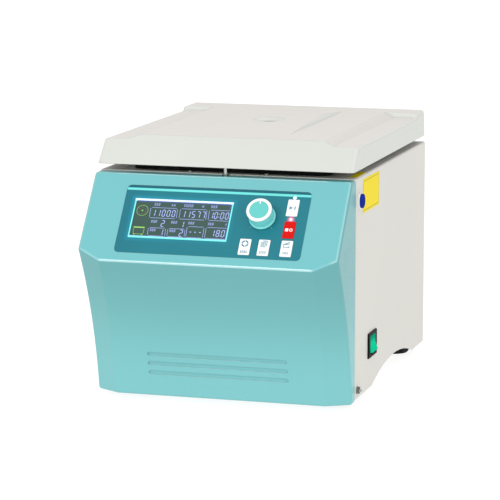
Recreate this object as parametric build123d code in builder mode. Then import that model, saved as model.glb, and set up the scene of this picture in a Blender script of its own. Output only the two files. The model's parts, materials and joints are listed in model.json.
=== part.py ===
from build123d import *
from math import atan2, cos, hypot, radians, sin, sqrt
import os

# Benchtop cytocentrifuge: sheet cabinet, faceted control panel, hinged lid and a six-station slide rotor.
# Millimetres. +Z is up, +Y runs from the control panel to the rear, +X is the operator's right.
# The origin is on the bench, under the middle of the machine's footprint.

os.makedirs("parts", exist_ok=True)

# ---------------------------------------------------------------- driving dimensions
# Cabinet: a folded sheet cover that is open below, at the front and at the rear
case_width = 300.0
case_depth = 346.0
case_height = 250.0
foot_height = 10.0
sheet = 1.5
case_edge_radius = 2.5
front_flange = 12.0
side_flange_start = 30.0
arch_span = 207.0
arch_rise = 16.0
arch_setback = 183.0
base_sheet = 2.0
base_setback = 3.0
base_rim = 9.0
base_gap = 0.5
base_vent = (5.0, 32.0)
base_vent_pitch = (14.0, 40.0)
base_vent_count = (8, 2)
rear_vent = (150.0, 4.0)
rear_vent_pitch = 9.0
rear_vent_count = 6
rear_vent_height = 186.0

# Clearances, and how far a cut runs past the faces that it opens
air_gap = 0.3
running_gap = 0.05
fixed_gap = 0.02
cut_past = 1.0
open_past = 20.0

# Control panel: a faceted moulding in front of the cabinet
panel_wall = 3.0
panel_edge_radius = 4.0
panel_top_drop = 1.0
panel_bottom_drop = 3.5
panel_top_reach = 16.6
ridge_reach = 85.0
ridge_height = 160.0
panel_bottom_reach = 26.4
ridge_half_width = 122.9
lower_hollow = 8.0
facet_back = 15.5
groove_width = 164.0
groove_height = 4.6
groove_depth = 1.4
groove_pitch = 11.4
groove_drop = 123.0
groove_count = 3

# Controls on the sloping face. Heights are measured up the face from the ridge.
overlay_width = 214.0
overlay_height = 85.5
overlay_middle = 54.7
overlay_radius = 5.0
overlay_recess = 1.0
overlay_gap = 0.2
overlay_thickness = 0.8
display_width = 114.7
display_height = 49.5
display_border = 2.4
display_frame_rise = 0.4
display_radius = 1.0
display_rim = (4.0, 6.0)
glass_thickness = 0.9
display_x = -37.2
display_up = 55.8
key_width = 12.9
tall_key = 20.9
short_key = 19.8
key_radius = 1.0
key_rise = 0.5
key_travel = 0.5
key_clearance = 0.15
key_lip = 0.8
key_flange = 0.8
key_slack = 0.1
key_edge_radius = 0.35
key_stem = (5.0, 5.0)
key_stem_end = -7.4
key_switch = (6.0, 6.0)
switch_gap = 0.2
lamp_radius = 1.7
lamp_rise = 0.3
lamp_edge_radius = 0.4
knob_x = 56.2
knob_up = 63.0
knob_height = 18.6
knob_radius = 14.4
knob_skirt_radius = 15.0
knob_gap = 0.8
knob_cap_radius = 10.9
knob_crown = 4.0
knob_skirt = 1.6
knob_skirt_bevel = 1.0
knob_waist = 0.5
knob_draw = 0.3
knob_wall = 3.0
knob_sleeve = 2.0
knob_core_height = 13.2
knob_ring_height = 1.2
knob_cap_height = 0.9
knob_mark = (1.5, 3.2)
knob_mark_root = 0.8
stem_radius = 3.0
stem_room = 1.5
board_gap = 9.0
board_thickness = 1.6
board_margin = 1.0
encoder_body = (13.0, 13.0)
encoder_floor = 0.6
post_margin = (5.0, 3.75)
post_radius = 3.0
lug_size = (7.0, 22.0, 13.0)
lug_overlap = 4.0
lug_height = 3.0
keys = {  # name: (across, up the face, height)
    "start_key": (88.3, 76.9, tall_key),
    "stop_key": (88.8, 49.3, tall_key),
    "lid_key": (89.6, 26.0, short_key),
    "program_key": (63.8, 25.9, short_key),
    "mode_key": (42.2, 25.9, short_key),
}
lamps = {"start_lamp": (88.5, 89.75), "stop_lamp": (88.5, 62.6)}

# Lid
lid_gap = 8.0
lid_overhang = 10.5
lid_band_height = 26.0
lid_step = 5.0
lid_front_slope = 0.93
lid_side_draw = 0.6
lid_rear_draw = 1.0
lid_wall = 3.0
plateau_half_width = 107.5
band_half_width = 121.0
band_end_margin = 46.0
band_end_slope = 6.0
pad_start = 64.0
pad_crest = 225.0
pad_half_width = 56.0
pad_rise = 4.5
dimple_radius = 19.0
dimple_floor_radius = 15.0
dimple_depth = 3.5
window_radius = 13.0
window_flange = 3.0
liner_sheet = 1.5
liner_height = 2.0
seal_start = 13.0
seal_end_margin = 34.0
seal_width = 10.0
seal_gap = 0.4
boss_radius = 5.0
boss_gap = 7.0
boss_front_margin = 30.0
boss_rear_margin = 46.0
boss_hole_depth = 8.0
liner_end_margin = 28.0
pocket_inset = 3.5
lid_corner_radius = 5.0
seal_outer_radius = 14.0
seal_inner_radius = 6.0
window_drop = 0.4

# Hinge
hinge_gap = 1.5
hinge_height = 14.0
hinge_spread = 85.0
hinge_pin_radius = 3.0
knuckle_radius = 5.5
knuckle_width = 20.0
ear_thickness = 3.0
bracket_foot = 2.0
spring_length = 12.0
pin_overhang = 1.0
spring_radius = 5.0
arm_reach = 26.0
arm_flange = 3.0
bracket_front = -20.0
bracket_rear = -9.0

# Rotor chamber and drive
rotor_setback = 173.0
rotor_clearance = 11.4
chamber_depth = 110.0
bowl_sheet = 1.2
bowl_gap = 0.8
bowl_flange = 8.0
trim_width = 6.7
trim_height = 2.4
bowl_hole_radius = 24.0
guard_gap = 13.0
guard_wall = 4.0
guard_drop = 10.0
guard_port = (40.0, 30.0)
guard_port_height = 12.0
motor_radius = 40.0
boot_height = 25.0
motor_flange = 120.0
motor_flange_thickness = 5.0
motor_flange_radius = 14.0
motor_groove_count = 16
motor_groove_radius = 1.6
damper_radius = 10.0
damper_height = 18.0
damper_edge_radius = 1.0
damper_spread = 96.0
bearing_radius = 14.0
bearing_bore = 6.0
bearing_width = 10.0
bearing_inset = 2.0
magnet_gap = 3.0
magnet_radius = 12.5
shoulder_radius = 9.0
shoulder_height = 7.0
boot_inner = 28.0
boot_flange = 6.0
boot_waist = (25.5, 29.0)
boot_lip = 3.0
boot_seat = (20.0, 32.0)
rotor_radius = 85.6
rotor_floor_gap = 12.0
rotor_height = 83.0
rotor_floor = 4.0
rotor_wall = 3.0
rotor_hub_radius = 16.0
rotor_hole_radius = 9.0
rotor_hole_circle = 34.0
rotor_low_wall = 22.0
rotor_ring_drop = 26.0
rotor_ring_height = 10.0
rotor_post = (9.0, 10.0)
rotor_post_inset = 1.0
station_count = 6
nut_radius = 14.0
nut_height = 9.0
nut_bore = 5.0
nut_grip_count = 12
nut_grip_radius = 2.2
nut_grip_offset = 1.2
nut_edge_radius = 0.8
slide_thickness = 1.0
slide_width = 26.0
slide_length = 76.0
card_thickness = 0.5
card_height = 56.0
card_trim = 1.0
card_hole_radius = 3.2
clip_sheet = 1.2
clip_height = 58.0
clip_cheek = 7.0
stack_gap = 0.15
spot_height = 24.0
plate_thickness = 2.0
plate_height = 52.0
spout_length = 20.0
funnel_radius = 9.0
funnel_wall = 1.8
funnel_floor = 3.0
funnel_drop = 7.0
funnel_height = 34.0
spout_radius = 5.0
spout_bore = 3.0

# Side fittings: distances behind the cabinet's front edge, and heights above its lower edge
switch_at = (77.5, 49.7)
switch_bezel_size = (38.0, 29.0)
switch_rise = 2.0
switch_depth = 18.0
switch_wall = 2.0
rocker_size = (24.5, 19.2)
rocker_lift = 3.0
rocker_dip = 1.8
rocker_tilt = 9.0
rocker_reach = 4.0
rocker_side_gap = 0.4
rocker_end_gap = 1.6
rocker_foot_draw = 1.0
rocker_edge_radius = 0.5
trunnion_radius = 1.5
trunnion_length = 1.0
bezel_radius = 1.5
bezel_edge_radius = 0.8
plug_at = (15.5, 224.0)
plug_radius = 8.0
plug_thickness = 3.0
plug_shank_radius = 5.5
plug_shank = 14.0
plug_dome = 1.2
plug_cross = (1.2, 0.5)
collar_radius = 8.8
collar_tube_radius = 6.8
collar_thickness = 2.3
collar_edge_radius = 0.6
side_screw_at = (11.0, 9.5)
sticker_size = (75.0, 38.5)
sticker_at = (69.5, 226.4)
deck_sticker_size = (9.0, 42.0)
deck_sticker_at = (143.0, 36.0)
sticker_thickness = 0.3
sticker_radius = 1.5

# Lid lock
striker_setback = -2.0
striker_radius = 2.25
striker_head_radius = 3.0
striker_length = 22.0
striker_foot = (16.0, 14.0, 1.6)
striker_bevel = 1.0
striker_head_rim = 1.5
neck_radius = 1.4
neck_height = 4.0
head_height = 4.0
slot_front_gap = 3.6
slot_rear_gap = 1.4
slot_side_gap = 1.5
bolt_thickness = 2.0
bolt_width = 10.0
bolt_travel = 6.0
bolt_end = 26.0
fork_depth = 1.5
fork_gap = 0.5
plunger_radius = 2.0
plunger_end = 44.0
plunger_overlap = 4.0
plunger_room = 2.0
coil_start = 29.0
coil_size = (32.0, 18.0, 14.0)
coil_cheek = 2.0
coil_swell = 1.0
lock_half = 16.0
lock_wall = 2.5
lock_depth = 14.0
lock_floor_gap = 2.0
plate_setback = 3.0
plate_margin = 14.0
plate_drop = 1.0
coil_tab = (14.0, 10.0)
coil_tab_at = (6.0, 8.0)
lock_screw_spread = 90.0
lock_screw_setback = 8.0

# Feet, fan and mains inlet
screw_shank_radius = 1.5
screw_clearance = 0.1
foot_radius = 18.0
foot_bevel = 2.0
foot_rim = 7.0
foot_taper = 5.0
foot_spread = 240.0
front_foot_at = 40.0
rear_foot_margin = 28.0
fan_size = 60.0
fan_depth = 18.0
fan_at = (-82.0, 80.0)
fan_opening_radius = 28.0
fan_spoke = 3.0
fan_hub = 12.0
fan_gap = 1.0
stator_depth = 5.0
spindle_radius = 1.5
spindle_start = 2.0
fan_corner_radius = 3.0
blade_count = 7
blade_pitch = 35.0
blade_sheet = 1.4
guard_ring_count = 3
guard_ring_pitch = 8.0
guard_ring_slot = 5.5
inlet_at = (92.0, 48.0)
inlet_body = (27.0, 20.0)
inlet_flange = (46.0, 28.0, 2.0)
inlet_depth = 24.0
inlet_radius = 3.0
socket_radius = 2.0
socket_size = (24.2, 16.4, 15.0)
inlet_blade = (2.0, 4.0)
blade_length = 12.0
blade_spread = 14.0
blade_drop = 2.0
earth_rise = 3.0
fuse_rise = 30.0
fuse_radius = 7.0
fuse_body_radius = 6.0
fuse_depth = 34.0
fuse_flange_radius = 9.5
fuse_flange = 1.2
fuse_cap = 3.2
fuse_slot = (8.0, 1.4)
screw_head_radius = 3.4
side_screw_radius = 3.8
screw_head_height = 1.8
screw_slot = (0.7, 0.6)
lid_screw_length = 7.0
deck_screw_length = 5.0
side_screw_length = 6.0

# Power supply board on the floor of the cabinet
supply_at = (-60.0, 31.0)
supply_size = (120.0, 40.0)
supply_rise = 8.0
supply_post_inset = 10.0
transformer_size = (34.0, 28.0)
transformer_offset = 32.0
capacitor_radius = 8.0
capacitor_pitch = 20.0
capacitor_offset = 5.0
heatsink_size = (16.0, 30.0)
heatsink_offset = 44.0
component_height = 26.0

# ---------------------------------------------------------------- derived places
y_front = -(case_depth - ridge_reach) / 2
y_rear = y_front + case_depth
z_case = foot_height
z_deck = foot_height + case_height
half = case_width / 2
axis_y = y_front + rotor_setback

panel_top = z_deck - panel_top_drop
panel_bottom = z_case - panel_bottom_drop
ridge_y = y_front - ridge_reach
ridge_z = z_case + ridge_height
top_y = y_front - panel_top_reach
bottom_y = y_front - panel_bottom_reach

face_length = hypot(top_y - ridge_y, panel_top - ridge_z)
face_up = Vector(0, (top_y - ridge_y) / face_length, (panel_top - ridge_z) / face_length)
face_out = Vector(0, -face_up.Z, face_up.Y)
face_plane = Plane(origin=(0, ridge_y, ridge_z), x_dir=(1, 0, 0), z_dir=face_out)
face_axis = Axis(face_plane.origin, face_out)
ridge_fall = (ridge_z - panel_bottom) * (top_y - ridge_y) / (panel_top - ridge_z)
facet_run = half - ridge_half_width

overlay_top = overlay_thickness - overlay_recess
recess_size = (overlay_width + 2 * overlay_gap, overlay_height + 2 * overlay_gap)
opening_size = (display_width - 2 * display_border, display_height - 2 * display_border)
glass_size = (opening_size[0] - air_gap, opening_size[1] - air_gap)
glass_back = -overlay_recess
wall_back = -panel_wall
board_front = -board_gap

board_area = (overlay_width - 2 * board_margin, overlay_height)
board_posts = (overlay_width - 2 * post_margin[0], overlay_height - 2 * post_margin[1])

base_z = z_case + arch_rise + base_gap
base_top = base_z + base_sheet

lid_z = z_deck + lid_gap
band_z = lid_z + lid_band_height
plateau_z = band_z + lid_step
lid_front = y_front - lid_overhang
liner_z = lid_z + liner_height
liner_top = liner_z + liner_sheet
hinge_y = y_rear - lid_wall - hinge_gap - knuckle_radius
hinge_z = z_deck + hinge_height
band_end_y = y_rear - band_end_margin
dimple_top = plateau_z + pad_rise * (rotor_setback - pad_start) / (pad_crest - pad_start)
dimple_floor = dimple_top - dimple_depth
roof_z = plateau_z - lid_wall

chamber_radius = rotor_radius + rotor_clearance
guard_radius = chamber_radius + guard_gap
trim_inner = chamber_radius + bowl_sheet + bowl_gap
trim_outer = trim_inner + trim_width
seal_half_width = trim_outer + air_gap + seal_width
boss_spread = seal_half_width + boss_gap + boss_radius
bowl_floor = z_deck - chamber_depth
motor_base = base_top + damper_height
motor_can = motor_base + motor_flange_thickness
motor_top = bowl_floor - boot_height
motor_height = motor_top - motor_can
rotor_z = bowl_floor + bowl_sheet + rotor_floor_gap
rotor_top = rotor_z + rotor_height
shaft_radius = bearing_bore - running_gap
striker_y = y_front + striker_setback
neck_top = liner_z - striker_length
neck_z = neck_top - neck_height
side_plane = Plane.YZ.offset(half)
switch_y = y_front + switch_at[0]
switch_z = z_case + switch_at[1]
bezel_hole = (rocker_size[0] + 2 * rocker_side_gap, rocker_size[1] + 2 * rocker_end_gap)
bezel_body = (bezel_hole[0] + 2 * switch_wall, bezel_hole[1] + switch_wall)
plug_y = y_front + plug_at[0]
plug_z = z_case + plug_at[1]
screw_hole = screw_shank_radius + screw_clearance


def save(builder, name):
    """Labels a finished piece and writes it as one STEP file."""
    builder.part.label = name
    export_step(builder.part, f"parts/{name}.step")


# ---------------------------------------------------------------- cabinet
def cover_block(inset, extra):
    """The folded cover's outer form, moved in by inset, and run past the rear and below by extra."""
    with BuildPart() as block:
        with BuildSketch(Plane.XY.offset(z_case - extra)):
            with Locations((0, (y_front + inset + y_rear + extra) / 2)):
                Rectangle(case_width - 2 * inset, case_depth - inset + extra)
        extrude(amount=case_height - inset + extra)
        front_edges = block.faces().sort_by(Axis.Y)[0].edges()
        top_edges = block.faces().sort_by(Axis.Z)[-1].edges().filter_by(Axis.Y)
        folds = front_edges.filter_by(Axis.Z) + front_edges.sort_by(Axis.Z)[-1:] + top_edges
        fillet(folds, case_edge_radius - inset)
    return block.part


arch_radius = (arch_span**2 / 4 + arch_rise**2) / (2 * arch_rise)
lock_cut = (-20.0, 62.0)
slot_rear = striker_y + striker_radius + slot_rear_gap
slot_front = striker_y - striker_radius - slot_front_gap
slot_half = striker_head_radius + slot_side_gap

with BuildPart() as cabinet_wrap:
    add(cover_block(0, 0))
    add(cover_block(sheet, open_past), mode=Mode.SUBTRACT)
    # front opening: a frame of flanges above, full width at the foot
    with BuildSketch(Plane.XZ.offset(-y_front)):
        with Locations((0, z_case + (side_flange_start + case_height - front_flange) / 2)):
            Rectangle(case_width - 2 * front_flange, case_height - front_flange - side_flange_start)
        with Locations((0, z_case + side_flange_start / 2)):
            Rectangle(case_width - 2 * sheet, side_flange_start)
        with Locations(((lock_cut[0] + lock_cut[1]) / 2, z_deck - sheet - front_flange / 2)):
            Rectangle(lock_cut[1] - lock_cut[0], front_flange)
    extrude(amount=sheet + cut_past, both=True, mode=Mode.SUBTRACT)
    # arched lower edge of both sides
    with BuildSketch(Plane.YZ.offset(-half - cut_past)):
        with Locations((y_front + arch_setback, z_case + arch_rise - arch_radius)):
            Circle(arch_radius)
    extrude(amount=case_width + 2 * cut_past, mode=Mode.SUBTRACT)
    # chamber mouth and the striker's slot
    with BuildSketch(Plane.XY.offset(z_deck - 2 * sheet)):
        with Locations((0, axis_y)):
            Circle(chamber_radius + bowl_sheet + bowl_gap)
        with Locations((0, y_front + (slot_rear - y_front) / 2)):
            Rectangle(2 * slot_half, slot_rear - y_front)
    extrude(amount=3 * sheet, mode=Mode.SUBTRACT)
    # switch and release hole, right side only
    with BuildSketch(side_plane):
        with Locations((switch_y, switch_z)):
            Rectangle(bezel_body[0] + 2 * air_gap, bezel_body[1] + 2 * air_gap)
        with Locations((plug_y, plug_z)):
            Circle(collar_tube_radius + running_gap)
    extrude(amount=2 * sheet, both=True, mode=Mode.SUBTRACT)
    # screw holes through both sides and the deck
    with BuildSketch(Plane.YZ.offset(-half - cut_past)):
        with Locations((y_front + side_screw_at[0], z_case + side_screw_at[1])):
            Circle(screw_hole)
    extrude(amount=case_width + 2 * cut_past, mode=Mode.SUBTRACT)
    with BuildSketch(Plane.XY.offset(z_deck - 2 * sheet)):
        with Locations((0, y_front + lock_screw_setback)), GridLocations(lock_screw_spread, 0, 2, 1):
            Circle(screw_hole)
    extrude(amount=3 * sheet, mode=Mode.SUBTRACT)
save(cabinet_wrap, "cabinet_wrap")

base_depth = case_depth - sheet - base_setback
base_middle = y_rear - sheet - base_depth / 2
with BuildPart() as base_plate:
    with BuildSketch(Plane.XY.offset(base_z)):
        with Locations((0, base_middle)):
            Rectangle(case_width - 2 * sheet, base_depth)
    extrude(amount=base_rim)
    with BuildSketch(Plane.XY.offset(base_top)):
        with Locations((0, base_middle)):
            Rectangle(case_width - 2 * sheet - 2 * base_sheet, base_depth - 2 * base_sheet)
    extrude(amount=base_rim, mode=Mode.SUBTRACT)
    with BuildSketch(Plane.XY.offset(base_z - cut_past)):
        with Locations((0, axis_y)), GridLocations(*base_vent_pitch, *base_vent_count):
            SlotOverall(base_vent[1], base_vent[0], rotation=90)
    extrude(amount=base_sheet + 2 * cut_past, mode=Mode.SUBTRACT)
save(base_plate, "base_plate")

with BuildPart() as rear_panel:
    with BuildSketch(Plane.XZ.offset(-y_rear)):
        with Locations((0, z_case + (case_height - sheet) / 2)):
            Rectangle(case_width - 2 * sheet, case_height - sheet)
        with Locations((inlet_at[0], z_case + inlet_at[1])):
            Rectangle(inlet_body[0] + 2 * air_gap, inlet_body[1] + 2 * air_gap, mode=Mode.SUBTRACT)
        with Locations((0, z_case + rear_vent_height)), GridLocations(0, rear_vent_pitch, 1, rear_vent_count):
            SlotOverall(*rear_vent, mode=Mode.SUBTRACT)
        # the fan's guard: rings cut through the sheet, left joined by a cross
        with Locations((fan_at[0], z_case + fan_at[1])):
            for ring in range(guard_ring_count):
                Circle(fan_opening_radius - guard_ring_pitch * ring, mode=Mode.SUBTRACT)
                Circle(fan_opening_radius - guard_ring_pitch * ring - guard_ring_slot)
            for turn in (45, 135):
                Rectangle(2 * fan_opening_radius + cut_past, fan_spoke, rotation=turn)
        with Locations((inlet_at[0], z_case + inlet_at[1] + fuse_rise)):
            Circle(fuse_body_radius + air_gap, mode=Mode.SUBTRACT)
    extrude(amount=sheet)
    fillet(rear_panel.edges().filter_by(Axis.Y).group_by(Axis.Z)[-1], case_edge_radius)
save(rear_panel, "rear_panel")

with BuildPart() as foot:
    with BuildSketch(Plane.XZ):
        with BuildLine():
            Polyline(
                (0, 0), (foot_radius - foot_bevel, 0), (foot_radius, foot_bevel), (foot_radius, foot_rim),
                (foot_radius - foot_taper, base_z), (0, base_z), close=True,
            )
        make_face()
    revolve(axis=Axis.Z)

with BuildPart() as rubber_feet:
    for foot_y in (y_front + front_foot_at, y_rear - rear_foot_margin):
        with Locations((-foot_spread / 2, foot_y, 0), (foot_spread / 2, foot_y, 0)):
            add(foot.part)
save(rubber_feet, "rubber_feet")


# ---------------------------------------------------------------- control panel
def lower_section(side):
    """The upright plane square to a lower face: the front's for 0, a corner facet's for 1 (right) or -1 (left).
    Its origin is on the ridge, its x runs back and its y runs up."""
    along = Vector(facet_run, side * facet_back, 0)
    return Plane(origin=(side * ridge_half_width, ridge_y, ridge_z), x_dir=Vector(0, 0, 1).cross(along), z_dir=along)


def lower_arc(side):
    """Centre and radius, in that plane, of the hollow arc from the ridge to the bottom edge."""
    square = facet_run / hypot(facet_run, side * facet_back)
    reach = (bottom_y - ridge_y) * square
    drop = ridge_z - panel_bottom
    chord = hypot(reach, drop)
    hollow = lower_hollow * square * hypot(bottom_y - ridge_y, drop) / chord
    radius = (chord**2 / 4 + hollow**2) / (2 * hollow)
    out = (radius - hollow) / chord
    return (reach / 2 - drop * out, -drop / 2 - reach * out), radius


def lower_face(down):
    """The plane that touches the front's hollow arc at a distance down it from the ridge."""
    (behind, above), radius = lower_arc(0)
    turn = atan2(-above, -behind) - down / radius
    touch = Vector(0, ridge_y + behind + radius * cos(turn), ridge_z + above + radius * sin(turn))
    return Plane(origin=touch, x_dir=(1, 0, 0), z_dir=(0, -cos(turn), -sin(turn)))


def panel_block(inset):
    """The panel's faceted form with every face moved in by inset, and open at the back if it is."""
    with BuildPart() as block:
        with BuildSketch(Plane.YZ):
            with BuildLine():
                back = y_front + 2 * inset
                Polyline(
                    (back, panel_bottom), (ridge_y - ridge_fall, panel_bottom),
                    (top_y, panel_top), (back, panel_top), close=True,
                )
            make_face()
            if inset:
                offset(amount=-inset, kind=Kind.INTERSECTION, mode=Mode.REPLACE)
        extrude(amount=half - inset, both=True)
        # below the ridge the front and the two corner facets are cut hollow, each by a wide cylinder
        for side in (0, 1, -1):
            centre, radius = lower_arc(side)
            with BuildSketch(lower_section(side)):
                with Locations(centre):
                    Circle(radius + inset)
            extrude(amount=case_width, both=True, mode=Mode.SUBTRACT)
    return block.part


def control_holes(grow):
    """Openings in the sloping face for the display, keys, lamps and knob, each grown by a clearance."""
    with Locations((display_x, display_up)):
        Rectangle(opening_size[0] + 2 * grow, opening_size[1] + 2 * grow)
    for across, up, height in keys.values():
        with Locations((across, up)):
            RectangleRounded(key_width + 2 * grow, height + 2 * grow, key_radius + grow)
    with Locations(*lamps.values()):
        Circle(lamp_radius + grow)
    with Locations((knob_x, knob_up)):
        Circle(stem_radius + stem_room)


lug_front = y_front - lug_overlap
with BuildPart() as front_panel:
    add(panel_block(0))
    fillet(front_panel.edges().filter_by(lambda e: e.center().Y < y_front - cut_past), panel_edge_radius)
    add(panel_block(panel_wall), mode=Mode.SUBTRACT)
    with BuildSketch(face_plane):
        with Locations((0, overlay_middle)):
            RectangleRounded(*recess_size, overlay_radius + overlay_gap)
    extrude(amount=-overlay_recess, mode=Mode.SUBTRACT)
    with BuildSketch(face_plane):
        control_holes(key_clearance)
    extrude(amount=-panel_wall - cut_past, mode=Mode.SUBTRACT)
    for row in range(groove_count):
        with BuildSketch(lower_face(groove_drop + groove_pitch * row)):
            SlotOverall(groove_width, groove_height)
        extrude(amount=groove_depth, both=True, mode=Mode.SUBTRACT)
    # posts that carry the control board
    with BuildSketch(face_plane.offset(board_front)):
        with Locations((0, overlay_middle)), GridLocations(*board_posts, 2, 2):
            Circle(post_radius)
    extrude(amount=board_gap - panel_wall + fixed_gap)
    # lugs that the side screws hold
    for side in (1, -1):
        with BuildSketch(Plane.XY.offset(z_case + lug_height)):
            with Locations((side * (half - sheet - lug_size[0] / 2), lug_front + lug_size[1] / 2)):
                Rectangle(lug_size[0], lug_size[1])
        extrude(amount=lug_size[2])
    with BuildSketch(Plane.YZ.offset(-half)):
        with Locations((y_front + side_screw_at[0], z_case + side_screw_at[1])):
            Circle(screw_hole)
    extrude(amount=case_width, mode=Mode.SUBTRACT)
    # slot for the lid's striker
    with BuildSketch(Plane.XY.offset(panel_top + cut_past)):
        with Locations((0, (slot_front + y_front) / 2)):
            Rectangle(2 * slot_half, y_front - slot_front)
    extrude(amount=-panel_wall - 2 * cut_past, mode=Mode.SUBTRACT)
save(front_panel, "front_panel")

with BuildPart() as control_overlay:
    with BuildSketch(face_plane.offset(-overlay_recess)):
        with Locations((0, overlay_middle)):
            RectangleRounded(overlay_width, overlay_height, overlay_radius)
    extrude(amount=overlay_thickness)
    with BuildSketch(face_plane.offset(-overlay_recess - cut_past)):
        control_holes(key_clearance)
    extrude(amount=overlay_thickness + 2 * cut_past, mode=Mode.SUBTRACT)
save(control_overlay, "control_overlay")

with BuildPart() as display_frame:
    with BuildSketch(face_plane.offset(overlay_top)):
        with Locations((display_x, display_up)):
            RectangleRounded(display_width, display_height, display_radius)
            Rectangle(*opening_size, mode=Mode.SUBTRACT)
    extrude(amount=display_frame_rise)
save(display_frame, "display_frame")

with BuildPart() as display_glass:
    with BuildSketch(face_plane.offset(glass_back)):
        with Locations((display_x, display_up)):
            Rectangle(*glass_size)
    extrude(amount=glass_thickness)
save(display_glass, "display_glass")

with BuildPart() as display_module:
    with BuildSketch(face_plane.offset(board_front)):
        with Locations((display_x, display_up)):
            Rectangle(display_width + display_rim[0], display_height + display_rim[1])
    extrude(amount=board_gap - panel_wall)
    with BuildSketch(face_plane.offset(wall_back)):
        with Locations((display_x, display_up)):
            Rectangle(*glass_size)
    extrude(amount=panel_wall + glass_back)
save(display_module, "display_module")

key_back = wall_back - key_slack - key_flange
stem_floor = board_front + encoder_floor
with BuildPart() as control_board:
    with BuildSketch(face_plane.offset(board_front - board_thickness)):
        with Locations((0, overlay_middle)):
            Rectangle(*board_area)
    extrude(amount=board_thickness)
    with BuildSketch(face_plane.offset(board_front)):
        with Locations(*[(across, up) for across, up, _ in keys.values()]):
            Rectangle(*key_switch)
    extrude(amount=key_stem_end - key_travel - switch_gap - board_front)
    with BuildSketch(face_plane.offset(board_front)):
        with Locations((knob_x, knob_up)):
            Rectangle(*encoder_body)
    extrude(amount=board_gap - panel_wall - switch_gap)
    with BuildSketch(face_plane.offset(stem_floor)):
        with Locations((knob_x, knob_up)):
            Circle(stem_radius + running_gap)
    extrude(amount=board_gap, mode=Mode.SUBTRACT)
save(control_board, "control_board")

for name, place in lamps.items():
    with BuildPart() as lamp:
        with BuildSketch(face_plane.offset(board_front)):
            with Locations(place):
                Circle(lamp_radius)
        extrude(amount=board_gap + lamp_rise)
        fillet(lamp.faces().sort_by(face_axis)[-1].edges(), lamp_edge_radius)
    save(lamp, name)

for name, (across, up, height) in keys.items():
    with BuildPart() as key:
        with BuildSketch(face_plane.offset(key_back)):
            with Locations((across, up)):
                Rectangle(key_width + 2 * key_lip, height)
        extrude(amount=key_flange)
        with BuildSketch(face_plane.offset(key_back)):
            with Locations((across, up)):
                RectangleRounded(key_width, height, key_radius)
        extrude(amount=key_rise - key_back)
        fillet(key.faces().sort_by(face_axis)[-1].edges(), key_edge_radius)
        with BuildSketch(face_plane.offset(key_stem_end)):
            with Locations((across, up)):
                Rectangle(*key_stem)
        extrude(amount=key_back - key_stem_end)
    save(key, name)

stem_start = stem_floor + key_travel + air_gap
stem_end = knob_height - knob_crown
with BuildPart() as encoder_stem:
    with BuildSketch(face_plane.offset(stem_start)):
        with Locations((knob_x, knob_up)):
            Circle(stem_radius)
    extrude(amount=stem_end - stem_start)
save(encoder_stem, "encoder_stem")

knob_top = knob_height - knob_ring_height
knob_top_plane = face_plane.offset(knob_top)
knob_centre = face_plane.from_local_coords((knob_x, knob_up, 0))
knob_section = Plane(origin=knob_centre, x_dir=(1, 0, 0), z_dir=-face_up)
sleeve_radius = stem_radius + knob_sleeve
stem_bore = stem_radius + running_gap
skirt_top = knob_gap + knob_skirt
waist_radius = knob_radius - knob_waist
with BuildPart() as knob_body:
    with BuildSketch(knob_section):
        with BuildLine():
            Polyline(
                (stem_bore, knob_gap), (sleeve_radius, knob_gap), (sleeve_radius, knob_core_height),
                (knob_radius - knob_wall, knob_core_height), (knob_radius - knob_wall, knob_gap),
                (knob_skirt_radius, knob_gap), (knob_skirt_radius, skirt_top),
                (waist_radius, skirt_top + knob_skirt_bevel), (waist_radius + knob_draw, knob_top),
                (0, knob_top), (0, stem_end + running_gap), (stem_bore, stem_end + running_gap), close=True,
            )
        make_face()
    revolve(axis=Axis(knob_section.origin, face_out))
save(knob_body, "knob_body")

with BuildPart() as knob_ring:
    with BuildSketch(knob_top_plane):
        with Locations((knob_x, knob_up)):
            Circle(knob_radius)
            Circle(knob_cap_radius, mode=Mode.SUBTRACT)
    extrude(amount=knob_ring_height)
    fillet(knob_ring.faces().sort_by(face_axis)[-1].edges().sort_by(SortBy.RADIUS)[-1], knob_ring_height / 2)
    # pointer tongue, let into the cap
    with BuildSketch(knob_top_plane):
        with Locations((knob_x, knob_up + knob_cap_radius - (knob_mark[1] - knob_mark_root) / 2)):
            Rectangle(knob_mark[0], knob_mark[1] + knob_mark_root)
    extrude(amount=knob_cap_height)
save(knob_ring, "knob_ring")

with BuildPart() as knob_cap:
    with BuildSketch(knob_top_plane):
        with Locations((knob_x, knob_up)):
            Circle(knob_cap_radius - fixed_gap)
    extrude(amount=knob_cap_height)
    with BuildSketch(knob_top_plane):
        with Locations((knob_x, knob_up + knob_cap_radius - knob_mark[1] / 2)):
            Rectangle(knob_mark[0] + 2 * fixed_gap, knob_mark[1] + 2 * fixed_gap)
    extrude(amount=knob_ring_height, mode=Mode.SUBTRACT)
save(knob_cap, "knob_cap")

# ---------------------------------------------------------------- rotor chamber and guard
with BuildPart() as chamber_bowl:
    with BuildSketch(Plane.XZ.offset(-axis_y)):
        with BuildLine():
            outer = chamber_radius + bowl_sheet
            rim = outer + bowl_flange
            rim_z = z_deck - sheet
            Polyline(
                (bowl_hole_radius, bowl_floor), (outer, bowl_floor), (outer, rim_z - bowl_sheet),
                (rim, rim_z - bowl_sheet), (rim, rim_z), (chamber_radius, rim_z),
                (chamber_radius, bowl_floor + bowl_sheet), (bowl_hole_radius, bowl_floor + bowl_sheet),
                close=True,
            )
        make_face()
    revolve(axis=Axis((0, axis_y, 0), (0, 0, 1)))
save(chamber_bowl, "chamber_bowl")

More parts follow.
